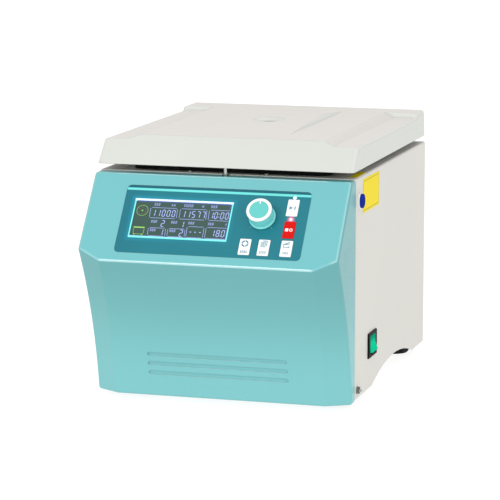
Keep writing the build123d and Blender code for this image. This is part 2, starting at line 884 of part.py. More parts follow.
with BuildPart() as chamber_trim:
    with BuildSketch(Plane.XY.offset(z_deck)):
        with Locations((0, axis_y)):
            Circle(trim_outer)
            Circle(trim_inner, mode=Mode.SUBTRACT)
    extrude(amount=trim_height)
    fillet(chamber_trim.faces().sort_by(Axis.Z)[-1].edges(), trim_height / 3)
save(chamber_trim, "chamber_trim")

with BuildPart() as guard_barrel:
    with BuildSketch(Plane.XY.offset(base_top)):
        with Locations((0, axis_y)):
            Circle(guard_radius + guard_wall)
            Circle(guard_radius, mode=Mode.SUBTRACT)
    extrude(amount=z_deck - guard_drop - base_top)
    with BuildSketch(Plane.XY.offset(base_top + guard_port_height)):
        with Locations((0, axis_y)):
            Rectangle(guard_port[0], 2 * (guard_radius + guard_wall + cut_past))
            Rectangle(2 * (guard_radius + guard_wall + cut_past), guard_port[0])
    extrude(amount=guard_port[1], mode=Mode.SUBTRACT)
save(guard_barrel, "guard_barrel")

# ---------------------------------------------------------------- drive
with BuildPart() as motor_dampers:
    with BuildSketch(Plane.XY.offset(base_top)):
        with Locations((0, axis_y)), GridLocations(damper_spread, damper_spread, 2, 2):
            Circle(damper_radius)
    extrude(amount=damper_height)
    fillet(motor_dampers.edges(), damper_edge_radius)
save(motor_dampers, "motor_dampers")

with BuildPart() as motor_housing:
    with BuildSketch(Plane.XY.offset(motor_base)):
        with Locations((0, axis_y)):
            RectangleRounded(motor_flange, motor_flange, motor_flange_radius)
    extrude(amount=motor_flange_thickness)
    with BuildSketch(Plane.XY.offset(motor_can)):
        with Locations((0, axis_y)):
            Circle(motor_radius)
            with PolarLocations(motor_radius, motor_groove_count):
                Circle(motor_groove_radius, mode=Mode.SUBTRACT)
    extrude(amount=motor_height)
    with BuildSketch(Plane.XY.offset(motor_base - cut_past)):
        with Locations((0, axis_y)):
            Circle(bearing_radius)
    extrude(amount=motor_height + motor_flange_thickness + 2 * cut_past, mode=Mode.SUBTRACT)
save(motor_housing, "motor_housing")

bearing_levels = (motor_base + bearing_inset, motor_top - bearing_inset - bearing_width)
with BuildPart() as motor_bearings:
    for level in bearing_levels:
        with BuildSketch(Plane.XY.offset(level)):
            with Locations((0, axis_y)):
                Circle(bearing_radius - fixed_gap)
                Circle(bearing_bore, mode=Mode.SUBTRACT)
        extrude(amount=bearing_width)
save(motor_bearings, "motor_bearings")

shaft_top = rotor_top + nut_bore - air_gap
shaft_foot = motor_base + bearing_inset / 2
with BuildPart() as motor_shaft:
    with BuildSketch(Plane.XZ.offset(-axis_y)):
        with BuildLine():
            magnet_low = bearing_levels[0] + bearing_width + magnet_gap
            magnet_high = bearing_levels[1] - magnet_gap
            shoulder_z = rotor_z - shoulder_height
            Polyline(
                (0, shaft_foot), (shaft_radius, shaft_foot), (shaft_radius, magnet_low),
                (magnet_radius, magnet_low), (magnet_radius, magnet_high), (shaft_radius, magnet_high),
                (shaft_radius, shoulder_z), (shoulder_radius, shoulder_z), (shoulder_radius, rotor_z),
                (shaft_radius, rotor_z), (shaft_radius, shaft_top), (0, shaft_top), close=True,
            )
        make_face()
    revolve(axis=Axis((0, axis_y, 0), (0, 0, 1)))
save(motor_shaft, "motor_shaft")

with BuildPart() as shaft_boot:
    with BuildSketch(Plane.XZ.offset(-axis_y)):
        with BuildLine():
            flange_radius = boot_inner + boot_flange
            waist_z = motor_top + boot_height / 2
            seat_low = bowl_floor - boot_lip
            Polyline(
                (boot_inner, motor_top), (flange_radius, motor_top), (flange_radius, motor_top + boot_lip),
                (boot_waist[1], waist_z), (boot_seat[1], seat_low), (boot_seat[1], bowl_floor),
                (boot_seat[0], bowl_floor), (boot_seat[0], seat_low), (boot_inner, seat_low),
                (boot_waist[0], waist_z), (boot_inner, motor_top + boot_lip), close=True,
            )
        make_face()
    revolve(axis=Axis((0, axis_y, 0), (0, 0, 1)))
save(shaft_boot, "shaft_boot")

# ---------------------------------------------------------------- cyto rotor
ring_inner = rotor_radius - rotor_wall
clip_half = slide_width / 2 + stack_gap * 2 + clip_sheet
clip_outer = sqrt(ring_inner**2 - clip_half**2) - stack_gap
slide_inner = clip_outer - clip_sheet - stack_gap - slide_thickness
card_inner = slide_inner - stack_gap - card_thickness
plate_inner = card_inner - stack_gap - plate_thickness
cup_x = plate_inner - spout_length
seat_z = rotor_z + rotor_floor
spot_z = seat_z + spot_height
half_step = 180 / station_count
post_circle = rotor_radius - rotor_post_inset - rotor_post[0] / 2

with BuildPart() as rotor_body:
    with BuildSketch(Plane.XY.offset(rotor_z)):
        with Locations((0, axis_y)):
            Circle(rotor_radius)
            with PolarLocations(rotor_hole_circle, station_count, half_step):
                Circle(rotor_hole_radius, mode=Mode.SUBTRACT)
    extrude(amount=rotor_floor)
    with BuildSketch(Plane.XY.offset(seat_z)):
        with Locations((0, axis_y)):
            Circle(rotor_radius)
            Circle(ring_inner, mode=Mode.SUBTRACT)
    extrude(amount=rotor_low_wall)
    with BuildSketch(Plane.XY.offset(rotor_top - rotor_ring_drop)):
        with Locations((0, axis_y)):
            Circle(rotor_radius)
            Circle(ring_inner, mode=Mode.SUBTRACT)
    extrude(amount=rotor_ring_height)
    with BuildSketch(Plane.XY.offset(seat_z)):
        with Locations((0, axis_y)):
            with PolarLocations(post_circle, station_count, half_step):
                Rectangle(*rotor_post)
            Circle(rotor_hub_radius)
    extrude(amount=rotor_height - rotor_floor)
    with BuildSketch(Plane.XY.offset(rotor_z - cut_past)):
        with Locations((0, axis_y)):
            Circle(bearing_bore)
    extrude(amount=rotor_height + 2 * cut_past, mode=Mode.SUBTRACT)
save(rotor_body, "rotor_body")


def at_stations(piece, name):
    """Repeats one station's piece round the rotor axis and saves the group."""
    with BuildPart() as group:
        with Locations((0, axis_y, 0)), PolarLocations(0, station_count):
            add(piece)
    save(group, name)


with BuildPart() as clip:
    with BuildSketch(Plane.XY.offset(seat_z)):
        with Locations((clip_outer - clip_sheet / 2, 0)):
            Rectangle(clip_sheet, 2 * clip_half)
        for side in (1, -1):
            with Locations((clip_outer - clip_cheek / 2, side * (clip_half - clip_sheet / 2))):
                Rectangle(clip_cheek, clip_sheet)
    extrude(amount=clip_height)
at_stations(clip.part, "slide_clips")

with BuildPart() as slide:
    with BuildSketch(Plane.XY.offset(seat_z)):
        with Locations((slide_inner, 0)):
            Rectangle(slide_thickness, slide_width, align=(Align.MIN, Align.CENTER))
    extrude(amount=slide_length)
at_stations(slide.part, "glass_slides")

card_width = slide_width - card_trim
with BuildPart() as card:
    with BuildSketch(Plane.XY.offset(seat_z)):
        with Locations((card_inner, 0)):
            Rectangle(card_thickness, card_width, align=(Align.MIN, Align.CENTER))
    extrude(amount=card_height)
    with BuildSketch(Plane.YZ.offset(card_inner - cut_past)):
        with Locations((0, spot_z)):
            Circle(card_hole_radius)
    extrude(amount=card_thickness + 2 * cut_past, mode=Mode.SUBTRACT)
at_stations(card.part, "filter_cards")

with BuildPart() as funnel:
    with BuildSketch(Plane.XY.offset(seat_z)):
        with Locations((plate_inner, 0)):
            Rectangle(plate_thickness, card_width, align=(Align.MIN, Align.CENTER))
    extrude(amount=plate_height)
    with BuildSketch(Plane.YZ.offset(cup_x)):
        with Locations((0, spot_z)):
            Circle(spout_radius)
    extrude(amount=plate_inner + plate_thickness / 2 - cup_x)
    with BuildSketch(Plane.XY.offset(spot_z - funnel_drop)):
        with Locations((cup_x, 0)):
            Circle(funnel_radius)
    extrude(amount=funnel_height)
    with BuildSketch(Plane.XY.offset(spot_z - funnel_drop + funnel_floor)):
        with Locations((cup_x, 0)):
            Circle(funnel_radius - funnel_wall)
    extrude(amount=funnel_height, mode=Mode.SUBTRACT)
    with BuildSketch(Plane.YZ.offset(cup_x)):
        with Locations((0, spot_z)):
            Circle(spout_bore)
    extrude(amount=rotor_radius - cup_x, mode=Mode.SUBTRACT)
at_stations(funnel.part, "sample_funnels")

with BuildPart() as rotor_nut:
    with BuildSketch(Plane.XY.offset(rotor_top)):
        with Locations((0, axis_y)):
            Circle(nut_radius)
            with PolarLocations(nut_radius + nut_grip_offset, nut_grip_count):
                Circle(nut_grip_radius, mode=Mode.SUBTRACT)
    extrude(amount=nut_height)
    fillet(rotor_nut.faces().sort_by(Axis.Z)[-1].edges(), nut_edge_radius)
    with BuildSketch(Plane.XY.offset(rotor_top - cut_past)):
        with Locations((0, axis_y)):
            Circle(bearing_bore)
    extrude(amount=nut_bore + cut_past, mode=Mode.SUBTRACT)
save(rotor_nut, "rotor_nut")


# ---------------------------------------------------------------- lid
def lid_outline(z, inset):
    """Centre and size of the lid's plan at height z, with walls moved in by inset."""
    share = (z - lid_z) / (plateau_z - lid_z)
    front = lid_front + lid_front_slope * (z - lid_z) + inset * hypot(1, lid_front_slope)
    rear = y_rear - lid_rear_draw * share - inset
    side = half - lid_side_draw * share - inset
    return (front + rear) / 2, 2 * side, rear - front


def lid_block(low, high, inset):
    """The lid's sloping sides between two heights."""
    with BuildPart() as block:
        for z in (low, high):
            middle, width, depth = lid_outline(z, inset)
            with BuildSketch(Plane.XY.offset(z)):
                with Locations((0, middle)):
                    Rectangle(width, depth)
        loft()
    return block.part


boss_ends = (y_front + boss_front_margin, y_rear - boss_rear_margin)
boss_rows = (boss_ends[0], sum(boss_ends) / 2, boss_ends[1])
pocket_half = plateau_half_width - pocket_inset
boss_places = [(side * boss_spread, row) for side in (1, -1) for row in boss_rows]

with BuildPart() as side_band:
    with BuildSketch(Plane.XZ.offset(-lid_front)):
        with BuildLine():
            Polyline(
                (plateau_half_width, plateau_z), (band_half_width, band_z), (half, band_z),
                (half, plateau_z + pad_rise), (plateau_half_width, plateau_z + pad_rise), close=True,
            )
        make_face()
    extrude(amount=-(band_end_y + band_end_slope - lid_front))
    split(
        bisect_by=Plane(origin=(0, band_end_y, band_z), z_dir=(0, lid_step, -band_end_slope)),
        keep=Keep.BOTTOM,
    )

with BuildPart() as centre_pad:
    with BuildSketch(Plane.YZ):
        with BuildLine():
            Polyline(
                (y_front + pad_start, plateau_z), (y_front + pad_crest, plateau_z + pad_rise),
                (band_end_y, plateau_z), (band_end_y, roof_z), (y_front + pad_start, roof_z),
                close=True,
            )
        make_face()
    extrude(amount=pad_half_width, both=True)
    for side in (1, -1):
        flank = Plane(origin=(side * pad_half_width, 0, plateau_z), z_dir=(side, 0, 1))
        split(bisect_by=flank, keep=Keep.BOTTOM)

with BuildPart() as lid_pocket:
    add(lid_block(lid_z - cut_past, roof_z, lid_wall))
    with BuildSketch(Plane.XY.offset(lid_z - cut_past)):
        with Locations((0, lid_outline(lid_z, 0)[0])):
            Rectangle(2 * pocket_half, 2 * case_depth)
    extrude(amount=roof_z - lid_z + cut_past, mode=Mode.INTERSECT)
    add(lid_block(lid_z - cut_past, band_z - lid_wall, lid_wall))

with BuildPart() as lid_shell:
    add(lid_block(lid_z, plateau_z, 0))
    add(side_band.part, mode=Mode.SUBTRACT)
    add(mirror(side_band.part, about=Plane.YZ, mode=Mode.PRIVATE), mode=Mode.SUBTRACT)
    side_line = half - 2 * lid_side_draw
    above_rim = lid_shell.edges().filter_by(lambda e: e.center().Z > lid_z + 1)
    fillet(above_rim.filter_by(lambda e: abs(e.center().X) > side_line), lid_corner_radius)
    add(centre_pad.part)
    add(lid_pocket.part, mode=Mode.SUBTRACT)
    # sight window: a shallow cone down to the glass
    with BuildSketch(Plane.XZ.offset(-axis_y)):
        with BuildLine():
            Polyline(
                (0, dimple_floor), (dimple_floor_radius, dimple_floor), (dimple_radius, dimple_top),
                (dimple_radius + dimple_depth, dimple_top + dimple_depth), (0, dimple_top + dimple_depth),
                close=True,
            )
        make_face()
    revolve(axis=Axis((0, axis_y, 0), (0, 0, 1)), mode=Mode.SUBTRACT)
    with BuildSketch(Plane.XY.offset(roof_z - cut_past)):
        with Locations((0, axis_y)):
            Circle(window_radius + fixed_gap)
    extrude(amount=dimple_top - roof_z, mode=Mode.SUBTRACT)
    # bosses for the liner's screws
    with BuildSketch(Plane.XY.offset(liner_top)):
        with Locations(*boss_places):
            Circle(boss_radius)
    extrude(until=Until.NEXT)
    with BuildSketch(Plane.XY.offset(liner_top)):
        with Locations(*boss_places):
            Circle(screw_hole)
    extrude(amount=boss_hole_depth, mode=Mode.SUBTRACT)
save(lid_shell, "lid_shell")

liner_middle, liner_width, liner_depth = lid_outline(liner_top, lid_wall + air_gap)
liner_front = liner_middle - liner_depth / 2
liner_rear = y_rear - liner_end_margin
with BuildPart() as lid_liner:
    with BuildSketch(Plane.XY.offset(liner_z)):
        with Locations((0, (liner_front + liner_rear) / 2)):
            Rectangle(liner_width, liner_rear - liner_front)
        with Locations((0, axis_y)):
            Circle(window_radius, mode=Mode.SUBTRACT)
        with Locations(*boss_places):
            Circle(screw_hole, mode=Mode.SUBTRACT)
    extrude(amount=liner_sheet)
save(lid_liner, "lid_liner")

seal_ends = (y_front + seal_start, y_rear - seal_end_margin)
seal_depth = seal_ends[1] - seal_ends[0]
seal_hole = (2 * (seal_half_width - seal_width), seal_depth - 2 * seal_width)
with BuildPart() as lid_seal:
    with BuildSketch(Plane.XY.offset(z_deck + seal_gap)):
        with Locations((0, sum(seal_ends) / 2)):
            RectangleRounded(2 * seal_half_width, seal_depth, seal_outer_radius)
            RectangleRounded(*seal_hole, seal_inner_radius, mode=Mode.SUBTRACT)
    extrude(amount=liner_z - z_deck - seal_gap)
save(lid_seal, "lid_seal")

with BuildPart() as lid_window:
    with BuildSketch(Plane.XY.offset(roof_z - lid_wall)):
        with Locations((0, axis_y)):
            Circle(window_radius + window_flange)
    extrude(amount=lid_wall)
    with BuildSketch(Plane.XY.offset(roof_z)):
        with Locations((0, axis_y)):
            Circle(window_radius)
    extrude(amount=dimple_floor - roof_z - window_drop)
save(lid_window, "lid_window")


def screw(head_radius, head_height, shank_length):
    """A pan-head screw standing on the XY plane, its shank below."""
    with BuildPart() as body:
        with BuildSketch(Plane.XY):
            Circle(head_radius)
        extrude(amount=head_height)
        fillet(body.faces().sort_by(Axis.Z)[-1].edges(), head_height / 2)
        with BuildSketch(Plane.XY.offset(head_height)):
            Rectangle(head_radius, screw_slot[0])
            Rectangle(screw_slot[0], head_radius)
        extrude(amount=-screw_slot[1], mode=Mode.SUBTRACT)
        with BuildSketch(Plane.XY):
            Circle(screw_shank_radius)
        extrude(amount=-shank_length)
    return body.part


with BuildPart() as lid_screws:
    for across, along in boss_places:
        place = Location((across, along, liner_z), (180, 0, 0))
        add(screw(screw_head_radius, screw_head_height, lid_screw_length).moved(place))
save(lid_screws, "lid_screws")

with BuildPart() as lid_striker:
    with BuildSketch(Plane.XY.offset(liner_z)):
        with Locations((0, striker_y - striker_radius + striker_foot[1] / 2)):
            Rectangle(striker_foot[0], striker_foot[1])
    extrude(amount=-striker_foot[2])
    with BuildSketch(Plane.XZ.offset(-striker_y)):
        with BuildLine():
            Polyline(
                (0, liner_z - striker_bevel), (striker_radius, liner_z - striker_bevel),
                (striker_radius, neck_top + striker_bevel), (neck_radius, neck_top), (neck_radius, neck_z),
                (striker_head_radius, neck_z), (striker_head_radius, neck_z - striker_head_rim),
                (neck_radius, neck_z - head_height), (0, neck_z - head_height), close=True,
            )
        make_face()
    revolve(axis=Axis((0, striker_y, 0), (0, 0, 1)))
save(lid_striker, "lid_striker")

# ---------------------------------------------------------------- hinge
arm_rear = -1.0
ear_middle = knuckle_width / 2 + air_gap + ear_thickness / 2
bracket_half = knuckle_width / 2 + air_gap + ear_thickness
neck_out = knuckle_radius * cos(radians(45))


def hinge_section(x):
    """A plane across the hinge axis at x, its origin on the axis, its sketch X to the rear and Y up."""
    return Plane(origin=(x, hinge_y, hinge_z), x_dir=(0, 1, 0), z_dir=(1, 0, 0))


with BuildPart() as hinge_arms:
    for side in (1, -1):
        with BuildSketch(hinge_section(side * hinge_spread)):
            Circle(knuckle_radius)
            with BuildLine():
                Polyline(
                    (-neck_out, -neck_out), (-arm_reach, roof_z - hinge_z - arm_flange),
                    (-arm_reach, roof_z - hinge_z), (arm_rear, roof_z - hinge_z),
                    (arm_rear, roof_z - hinge_z - arm_flange), (neck_out, neck_out), close=True,
                )
            make_face()
            Circle(hinge_pin_radius + running_gap, mode=Mode.SUBTRACT)
        extrude(amount=knuckle_width / 2, both=True)
save(hinge_arms, "hinge_arms")

with BuildPart() as hinge_brackets:
    for side in (1, -1):
        for ear in (1, -1):
            with BuildSketch(hinge_section(side * hinge_spread + ear * ear_middle)):
                Circle(knuckle_radius)
                with BuildLine():
                    Polyline(
                        (-neck_out, neck_out), (-neck_out, -neck_out), (bracket_rear, -hinge_height),
                        (bracket_front, -hinge_height), (bracket_front, bracket_foot - hinge_height),
                        close=True,
                    )
                make_face()
                Circle(hinge_pin_radius, mode=Mode.SUBTRACT)
            extrude(amount=ear_thickness / 2, both=True)
        with BuildSketch(Plane.XY.offset(z_deck)):
            with Locations((side * hinge_spread, hinge_y + (bracket_front + bracket_rear) / 2)):
                Rectangle(2 * bracket_half, bracket_rear - bracket_front)
        extrude(amount=bracket_foot)
save(hinge_brackets, "hinge_brackets")

pin_inner = bracket_half + spring_length + pin_overhang
with BuildPart() as hinge_pins:
    for side in (1, -1):
        with BuildSketch(hinge_section(side * (hinge_spread + bracket_half))):
            Circle(hinge_pin_radius - fixed_gap)
        extrude(amount=-side * (bracket_half + pin_inner))
save(hinge_pins, "hinge_pins")

with BuildPart() as hinge_springs:
    for side in (1, -1):
        with BuildSketch(hinge_section(side * (hinge_spread - bracket_half))):
            Circle(spring_radius)
            Circle(hinge_pin_radius + fixed_gap, mode=Mode.SUBTRACT)
        extrude(amount=-side * spring_length)
save(hinge_springs, "hinge_springs")

# ---------------------------------------------------------------- lid lock
lock_top = panel_top - panel_wall - air_gap
lock_front = slot_front - lock_wall
lock_rear = y_front + lock_depth
lock_floor = neck_z - head_height - lock_floor_gap
plate_front = y_front + plate_setback
plate_z = lock_top - plate_drop
bolt_z = neck_z + (neck_height - bolt_thickness) / 2
bolt_tip = striker_head_radius + air_gap
bolt_middle = (striker_y, bolt_z + bolt_thickness / 2)
with BuildPart() as lock_housing:
    with BuildSketch(Plane.XY.offset(lock_floor)):
        with Locations((0, (lock_front + lock_rear) / 2)):
            Rectangle(2 * lock_half, lock_rear - lock_front)
    extrude(amount=lock_top - lock_floor)
    with BuildSketch(Plane.XY.offset(z_deck - sheet)):
        with Locations((0, (plate_front + lock_rear) / 2)):
            Rectangle(lock_screw_spread + plate_margin, lock_rear - plate_front)
    extrude(amount=plate_z - z_deck + sheet)
    with BuildSketch(Plane.XY.offset(z_deck)):
        with Locations((0, y_front + lock_screw_setback)), GridLocations(lock_screw_spread, 0, 2, 1):
            Circle(screw_hole)
        with Locations((0, (slot_front + slot_rear) / 2)):
            Rectangle(2 * slot_half, slot_rear - slot_front)
    extrude(amount=lock_floor + lock_floor_gap / 2 - z_deck, mode=Mode.SUBTRACT)
    with BuildSketch(Plane.YZ.offset(-slot_half)):
        with Locations(bolt_middle):
            Rectangle(bolt_width + 2 * air_gap, bolt_thickness + 2 * air_gap)
    extrude(amount=lock_half + slot_half + cut_past, mode=Mode.SUBTRACT)
save(lock_housing, "lock_housing")

with BuildPart() as lock_bolt:
    with BuildSketch(Plane.XY.offset(bolt_z)):
        with Locations(((bolt_tip + bolt_end) / 2, striker_y)):
            Rectangle(bolt_end - bolt_tip, bolt_width)
        with Locations((bolt_tip, striker_y)):
            SlotOverall(2 * (bolt_travel + fork_depth), 2 * (neck_radius + fork_gap), mode=Mode.SUBTRACT)
    extrude(amount=bolt_thickness)
    with BuildSketch(Plane.YZ.offset(bolt_end - plunger_overlap)):
        with Locations(bolt_middle):
            Circle(plunger_radius)
    extrude(amount=plunger_end - bolt_end + plunger_overlap)
save(lock_bolt, "lock_bolt")

with BuildPart() as lock_solenoid:
    with BuildSketch(Plane.YZ.offset(coil_start)):
        with Locations(bolt_middle):
            Rectangle(coil_size[1], coil_size[2])
    extrude(amount=coil_size[0])
    with BuildSketch(Plane.YZ.offset(coil_start + coil_cheek)):
        with Locations(bolt_middle):
            Circle(coil_size[2] / 2 + coil_swell)
    extrude(amount=coil_size[0] - 2 * coil_cheek)
    with BuildSketch(Plane.YZ.offset(coil_start - cut_past)):
        with Locations(bolt_middle):
            Circle(plunger_radius + running_gap)
    extrude(amount=plunger_end + plunger_room - coil_start + cut_past, mode=Mode.SUBTRACT)
    # tab that hangs the coil from the lock's mounting plate
    with BuildSketch(Plane.XY.offset(plate_z)):
        with Locations((coil_start + coil_tab_at[0], y_front + coil_tab_at[1])):
            Rectangle(*coil_tab)
    extrude(amount=bolt_z - plate_z)
save(lock_solenoid, "lock_solenoid")

with BuildPart() as case_screws:
    for side in (1, -1):
        on_deck = Location((side * lock_screw_spread / 2, y_front + lock_screw_setback, z_deck))
        add(screw(screw_head_radius, screw_head_height, deck_screw_length).moved(on_deck))
        side_place = (side * half, y_front + side_screw_at[0], z_case + side_screw_at[1])
        on_side = Location(side_place, (0, side * 90, 0))
        add(screw(side_screw_radius, screw_head_height, side_screw_length).moved(on_side))
save(case_screws, "case_screws")

# ---------------------------------------------------------------- right side fittings
pivot_x = half - rocker_reach
with BuildPart() as switch_bezel:
    with BuildSketch(side_plane):
        with Locations((switch_y, switch_z)):
            RectangleRounded(*switch_bezel_size, bezel_radius)
    extrude(amount=switch_rise)
    fillet(switch_bezel.faces().sort_by(Axis.X)[-1].edges(), bezel_edge_radius)
    with BuildSketch(side_plane):
        with Locations((switch_y, switch_z)):
            Rectangle(*bezel_body)
    extrude(amount=-switch_depth)
    with BuildSketch(Plane.YZ.offset(half + switch_rise + cut_past)):
        with Locations((switch_y, switch_z)):
            Rectangle(*bezel_hole)
    extrude(amount=switch_wall - switch_depth - switch_rise - cut_past, mode=Mode.SUBTRACT)
    with BuildSketch(Plane.XZ.offset(-switch_y)):
        with Locations((pivot_x, switch_z)):
            Circle(trunnion_radius + running_gap)
    extrude(amount=bezel_hole[0] / 2 + trunnion_length, both=True, mode=Mode.SUBTRACT)
save(switch_bezel, "switch_bezel")

rocker_top = rocker_reach + switch_rise + rocker_lift / 2
rocker_half = rocker_size[1] / 2
rocker_foot = rocker_half - rocker_foot_draw
rocker_plane = Plane(
    origin=(pivot_x, switch_y, switch_z),
    x_dir=(cos(radians(rocker_tilt)), 0, sin(radians(rocker_tilt))),
    z_dir=(0, -1, 0),
)
with BuildPart() as power_rocker:
    with BuildSketch(rocker_plane):
        with BuildLine():
            Polyline(
                (rocker_top - rocker_dip, 0), (rocker_top, rocker_half), (-rocker_reach, rocker_foot),
                (-rocker_reach, -rocker_foot), (rocker_top, -rocker_half), close=True,
            )
        make_face()
    extrude(amount=rocker_size[0] / 2, both=True)
    fillet(power_rocker.faces().sort_by(Axis.X)[-2:].edges().filter_by(Axis.Y), rocker_edge_radius)
    with BuildSketch(Plane.XZ.offset(-switch_y)):
        with Locations((pivot_x, switch_z)):
            Circle(trunnion_radius)
    extrude(amount=bezel_hole[0] / 2 + trunnion_length - air_gap, both=True)
save(power_rocker, "power_rocker")

plug_plane = Plane.YZ.offset(half + collar_thickness)
with BuildPart() as plug_collar:
    with BuildSketch(side_plane):
        with Locations((plug_y, plug_z)):
            Circle(collar_radius)
    extrude(amount=collar_thickness)
    fillet(plug_collar.faces().sort_by(Axis.X)[-1].edges(), collar_edge_radius)
    with BuildSketch(side_plane):
        with Locations((plug_y, plug_z)):
            Circle(collar_tube_radius)
    extrude(amount=-plug_shank)
    with BuildSketch(plug_plane.offset(cut_past)):
        with Locations((plug_y, plug_z)):
            Circle(plug_shank_radius + 2 * running_gap)
    extrude(amount=-collar_thickness - plug_shank - 2 * cut_past, mode=Mode.SUBTRACT)
save(plug_collar, "plug_collar")

with BuildPart() as release_plug:
    with BuildSketch(plug_plane):
        with Locations((plug_y, plug_z)):
            Circle(plug_radius)
    extrude(amount=plug_thickness)
    fillet(release_plug.faces().sort_by(Axis.X)[-1].edges(), plug_dome)
    with BuildSketch(plug_plane.offset(plug_thickness)):
        with Locations((plug_y, plug_z)):
            Rectangle(plug_cross[0], plug_radius)
            Rectangle(plug_radius, plug_cross[0])
    extrude(amount=-plug_cross[1], mode=Mode.SUBTRACT)
    with BuildSketch(plug_plane):
        with Locations((plug_y, plug_z)):
            Circle(plug_shank_radius)
    extrude(amount=-plug_shank)
save(release_plug, "release_plug")

with BuildPart() as blank_labels:
    with BuildSketch(side_plane):
        with Locations((y_front + sticker_at[0], z_case + sticker_at[1])):
            RectangleRounded(*sticker_size, sticker_radius)
    extrude(amount=sticker_thickness)
    with BuildSketch(Plane.XY.offset(z_deck)):
        with Locations((deck_sticker_at[0], y_front + deck_sticker_at[1])):
            RectangleRounded(*deck_sticker_size, sticker_radius)
    extrude(amount=sticker_thickness)
save(blank_labels, "blank_labels")

# ---------------------------------------------------------------- rear fittings
rear_plane = Plane.XZ.offset(-y_rear)
inlet_z = z_case + inlet_at[1]
with BuildPart() as power_inlet:
    with BuildSketch(rear_plane):
        with Locations((inlet_at[0], inlet_z)):
            RectangleRounded(inlet_flange[0], inlet_flange[1], inlet_radius)
    extrude(amount=-inlet_flange[2])
    with BuildSketch(rear_plane):
        with Locations((inlet_at[0], inlet_z)):
            Rectangle(*inlet_body)
    extrude(amount=inlet_depth)
    with BuildSketch(rear_plane.offset(-inlet_flange[2])):
        with Locations((inlet_at[0], inlet_z)):
            RectangleRounded(socket_size[0], socket_size[1], socket_radius)
    extrude(amount=socket_size[2], mode=Mode.SUBTRACT)
    with BuildSketch(rear_plane.offset(socket_size[2] - inlet_flange[2])):
        with Locations((inlet_at[0], inlet_z - blade_drop)), GridLocations(blade_spread, 0, 2, 1):
            Rectangle(*inlet_blade)
        with Locations((inlet_at[0], inlet_z + earth_rise)):
            Rectangle(*inlet_blade)
    extrude(amount=-blade_length)
save(power_inlet, "power_inlet")

fuse_place = (inlet_at[0], inlet_z + fuse_rise)
with BuildPart() as fuse_holder:
    with BuildSketch(rear_plane):
        with Locations(fuse_place):
            Circle(fuse_flange_radius)
    extrude(amount=-fuse_flange)
    with BuildSketch(rear_plane):
        with Locations(fuse_place):
            Circle(fuse_radius)
    extrude(amount=-fuse_cap)
    with BuildSketch(rear_plane.offset(-fuse_cap)):
        with Locations(fuse_place):
            Rectangle(*fuse_slot)
    extrude(amount=fuse_slot[1], mode=Mode.SUBTRACT)
    with BuildSketch(rear_plane):
        with Locations(fuse_place):
            Circle(fuse_body_radius)
    extrude(amount=fuse_depth)
save(fuse_holder, "fuse_holder")

fan_bore = fan_opening_radius + fan_gap / 2
fan_place = (fan_at[0], z_case + fan_at[1])
fan_back = rear_plane.offset(sheet)
with BuildPart() as fan_frame:
    with BuildSketch(fan_back):
        with Locations(fan_place):
            RectangleRounded(fan_size, fan_size, fan_corner_radius)
            Circle(fan_bore, mode=Mode.SUBTRACT)
    extrude(amount=fan_depth)
    with BuildSketch(fan_back.offset(fan_depth)):
        with Locations(fan_place):
            Circle(fan_hub)
            for turn in (45, 135):
                Rectangle(2 * fan_bore + cut_past, fan_spoke, rotation=turn)
    extrude(amount=-stator_depth)
    with BuildSketch(fan_back.offset(spindle_start)):
        with Locations(fan_place):
            Circle(spindle_radius)
    extrude(amount=fan_depth - spindle_start)
save(fan_frame, "fan_frame")

rotor_depth = fan_depth - stator_depth - fan_gap
with BuildPart() as fan_blade:
    with BuildSketch(Plane.YZ.offset(fan_hub - blade_sheet)):
        with Locations((0, rotor_depth / 2)):
            Rectangle(blade_sheet, rotor_depth, rotation=blade_pitch)
    extrude(amount=fan_bore - fan_gap - fan_hub + blade_sheet)

with BuildPart() as impeller_form:
    with BuildSketch(Plane.XY):
        Circle(fan_hub)
    extrude(amount=rotor_depth)
    with PolarLocations(0, blade_count):
        add(fan_blade.part)
    with BuildSketch(Plane.XY.offset(rotor_depth)):
        Circle(spindle_radius + running_gap)
    extrude(amount=spindle_start - fan_gap - rotor_depth, mode=Mode.SUBTRACT)

with BuildPart() as fan_impeller:
    add(impeller_form.part.moved(fan_back.location * Location((*fan_place, fan_gap / 2))))
save(fan_impeller, "fan_impeller")

supply_y = y_front + supply_at[1]
with BuildPart() as power_board:
    with BuildSketch(Plane.XY.offset(base_top)):
        with Locations((supply_at[0], supply_y)):
            with GridLocations(supply_size[0] - supply_post_inset, supply_size[1] - supply_post_inset, 2, 2):
                Circle(post_radius)
    extrude(amount=supply_rise)
    with BuildSketch(Plane.XY.offset(base_top + supply_rise)):
        with Locations((supply_at[0], supply_y)):
            Rectangle(*supply_size)
    extrude(amount=board_thickness)
    with BuildSketch(Plane.XY.offset(base_top + supply_rise + board_thickness)):
        with Locations((supply_at[0] - transformer_offset, supply_y)):
            Rectangle(*transformer_size)
        with Locations((supply_at[0] + capacitor_offset, supply_y)), GridLocations(capacitor_pitch, 0, 2, 1):
            Circle(capacitor_radius)
        with Locations((supply_at[0] + heatsink_offset, supply_y)):
            Rectangle(*heatsink_size)
    extrude(amount=component_height)
save(power_board, "power_board")
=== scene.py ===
"""Bench cytocentrifuge: the finishes, printed marks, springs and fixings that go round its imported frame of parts.

The frame is loaded first and stays as it is. Everything is in metres, in the frame's own place: origin on the
bench under the middle of the machine, X to the operator's right, Y to the rear, Z up.
"""

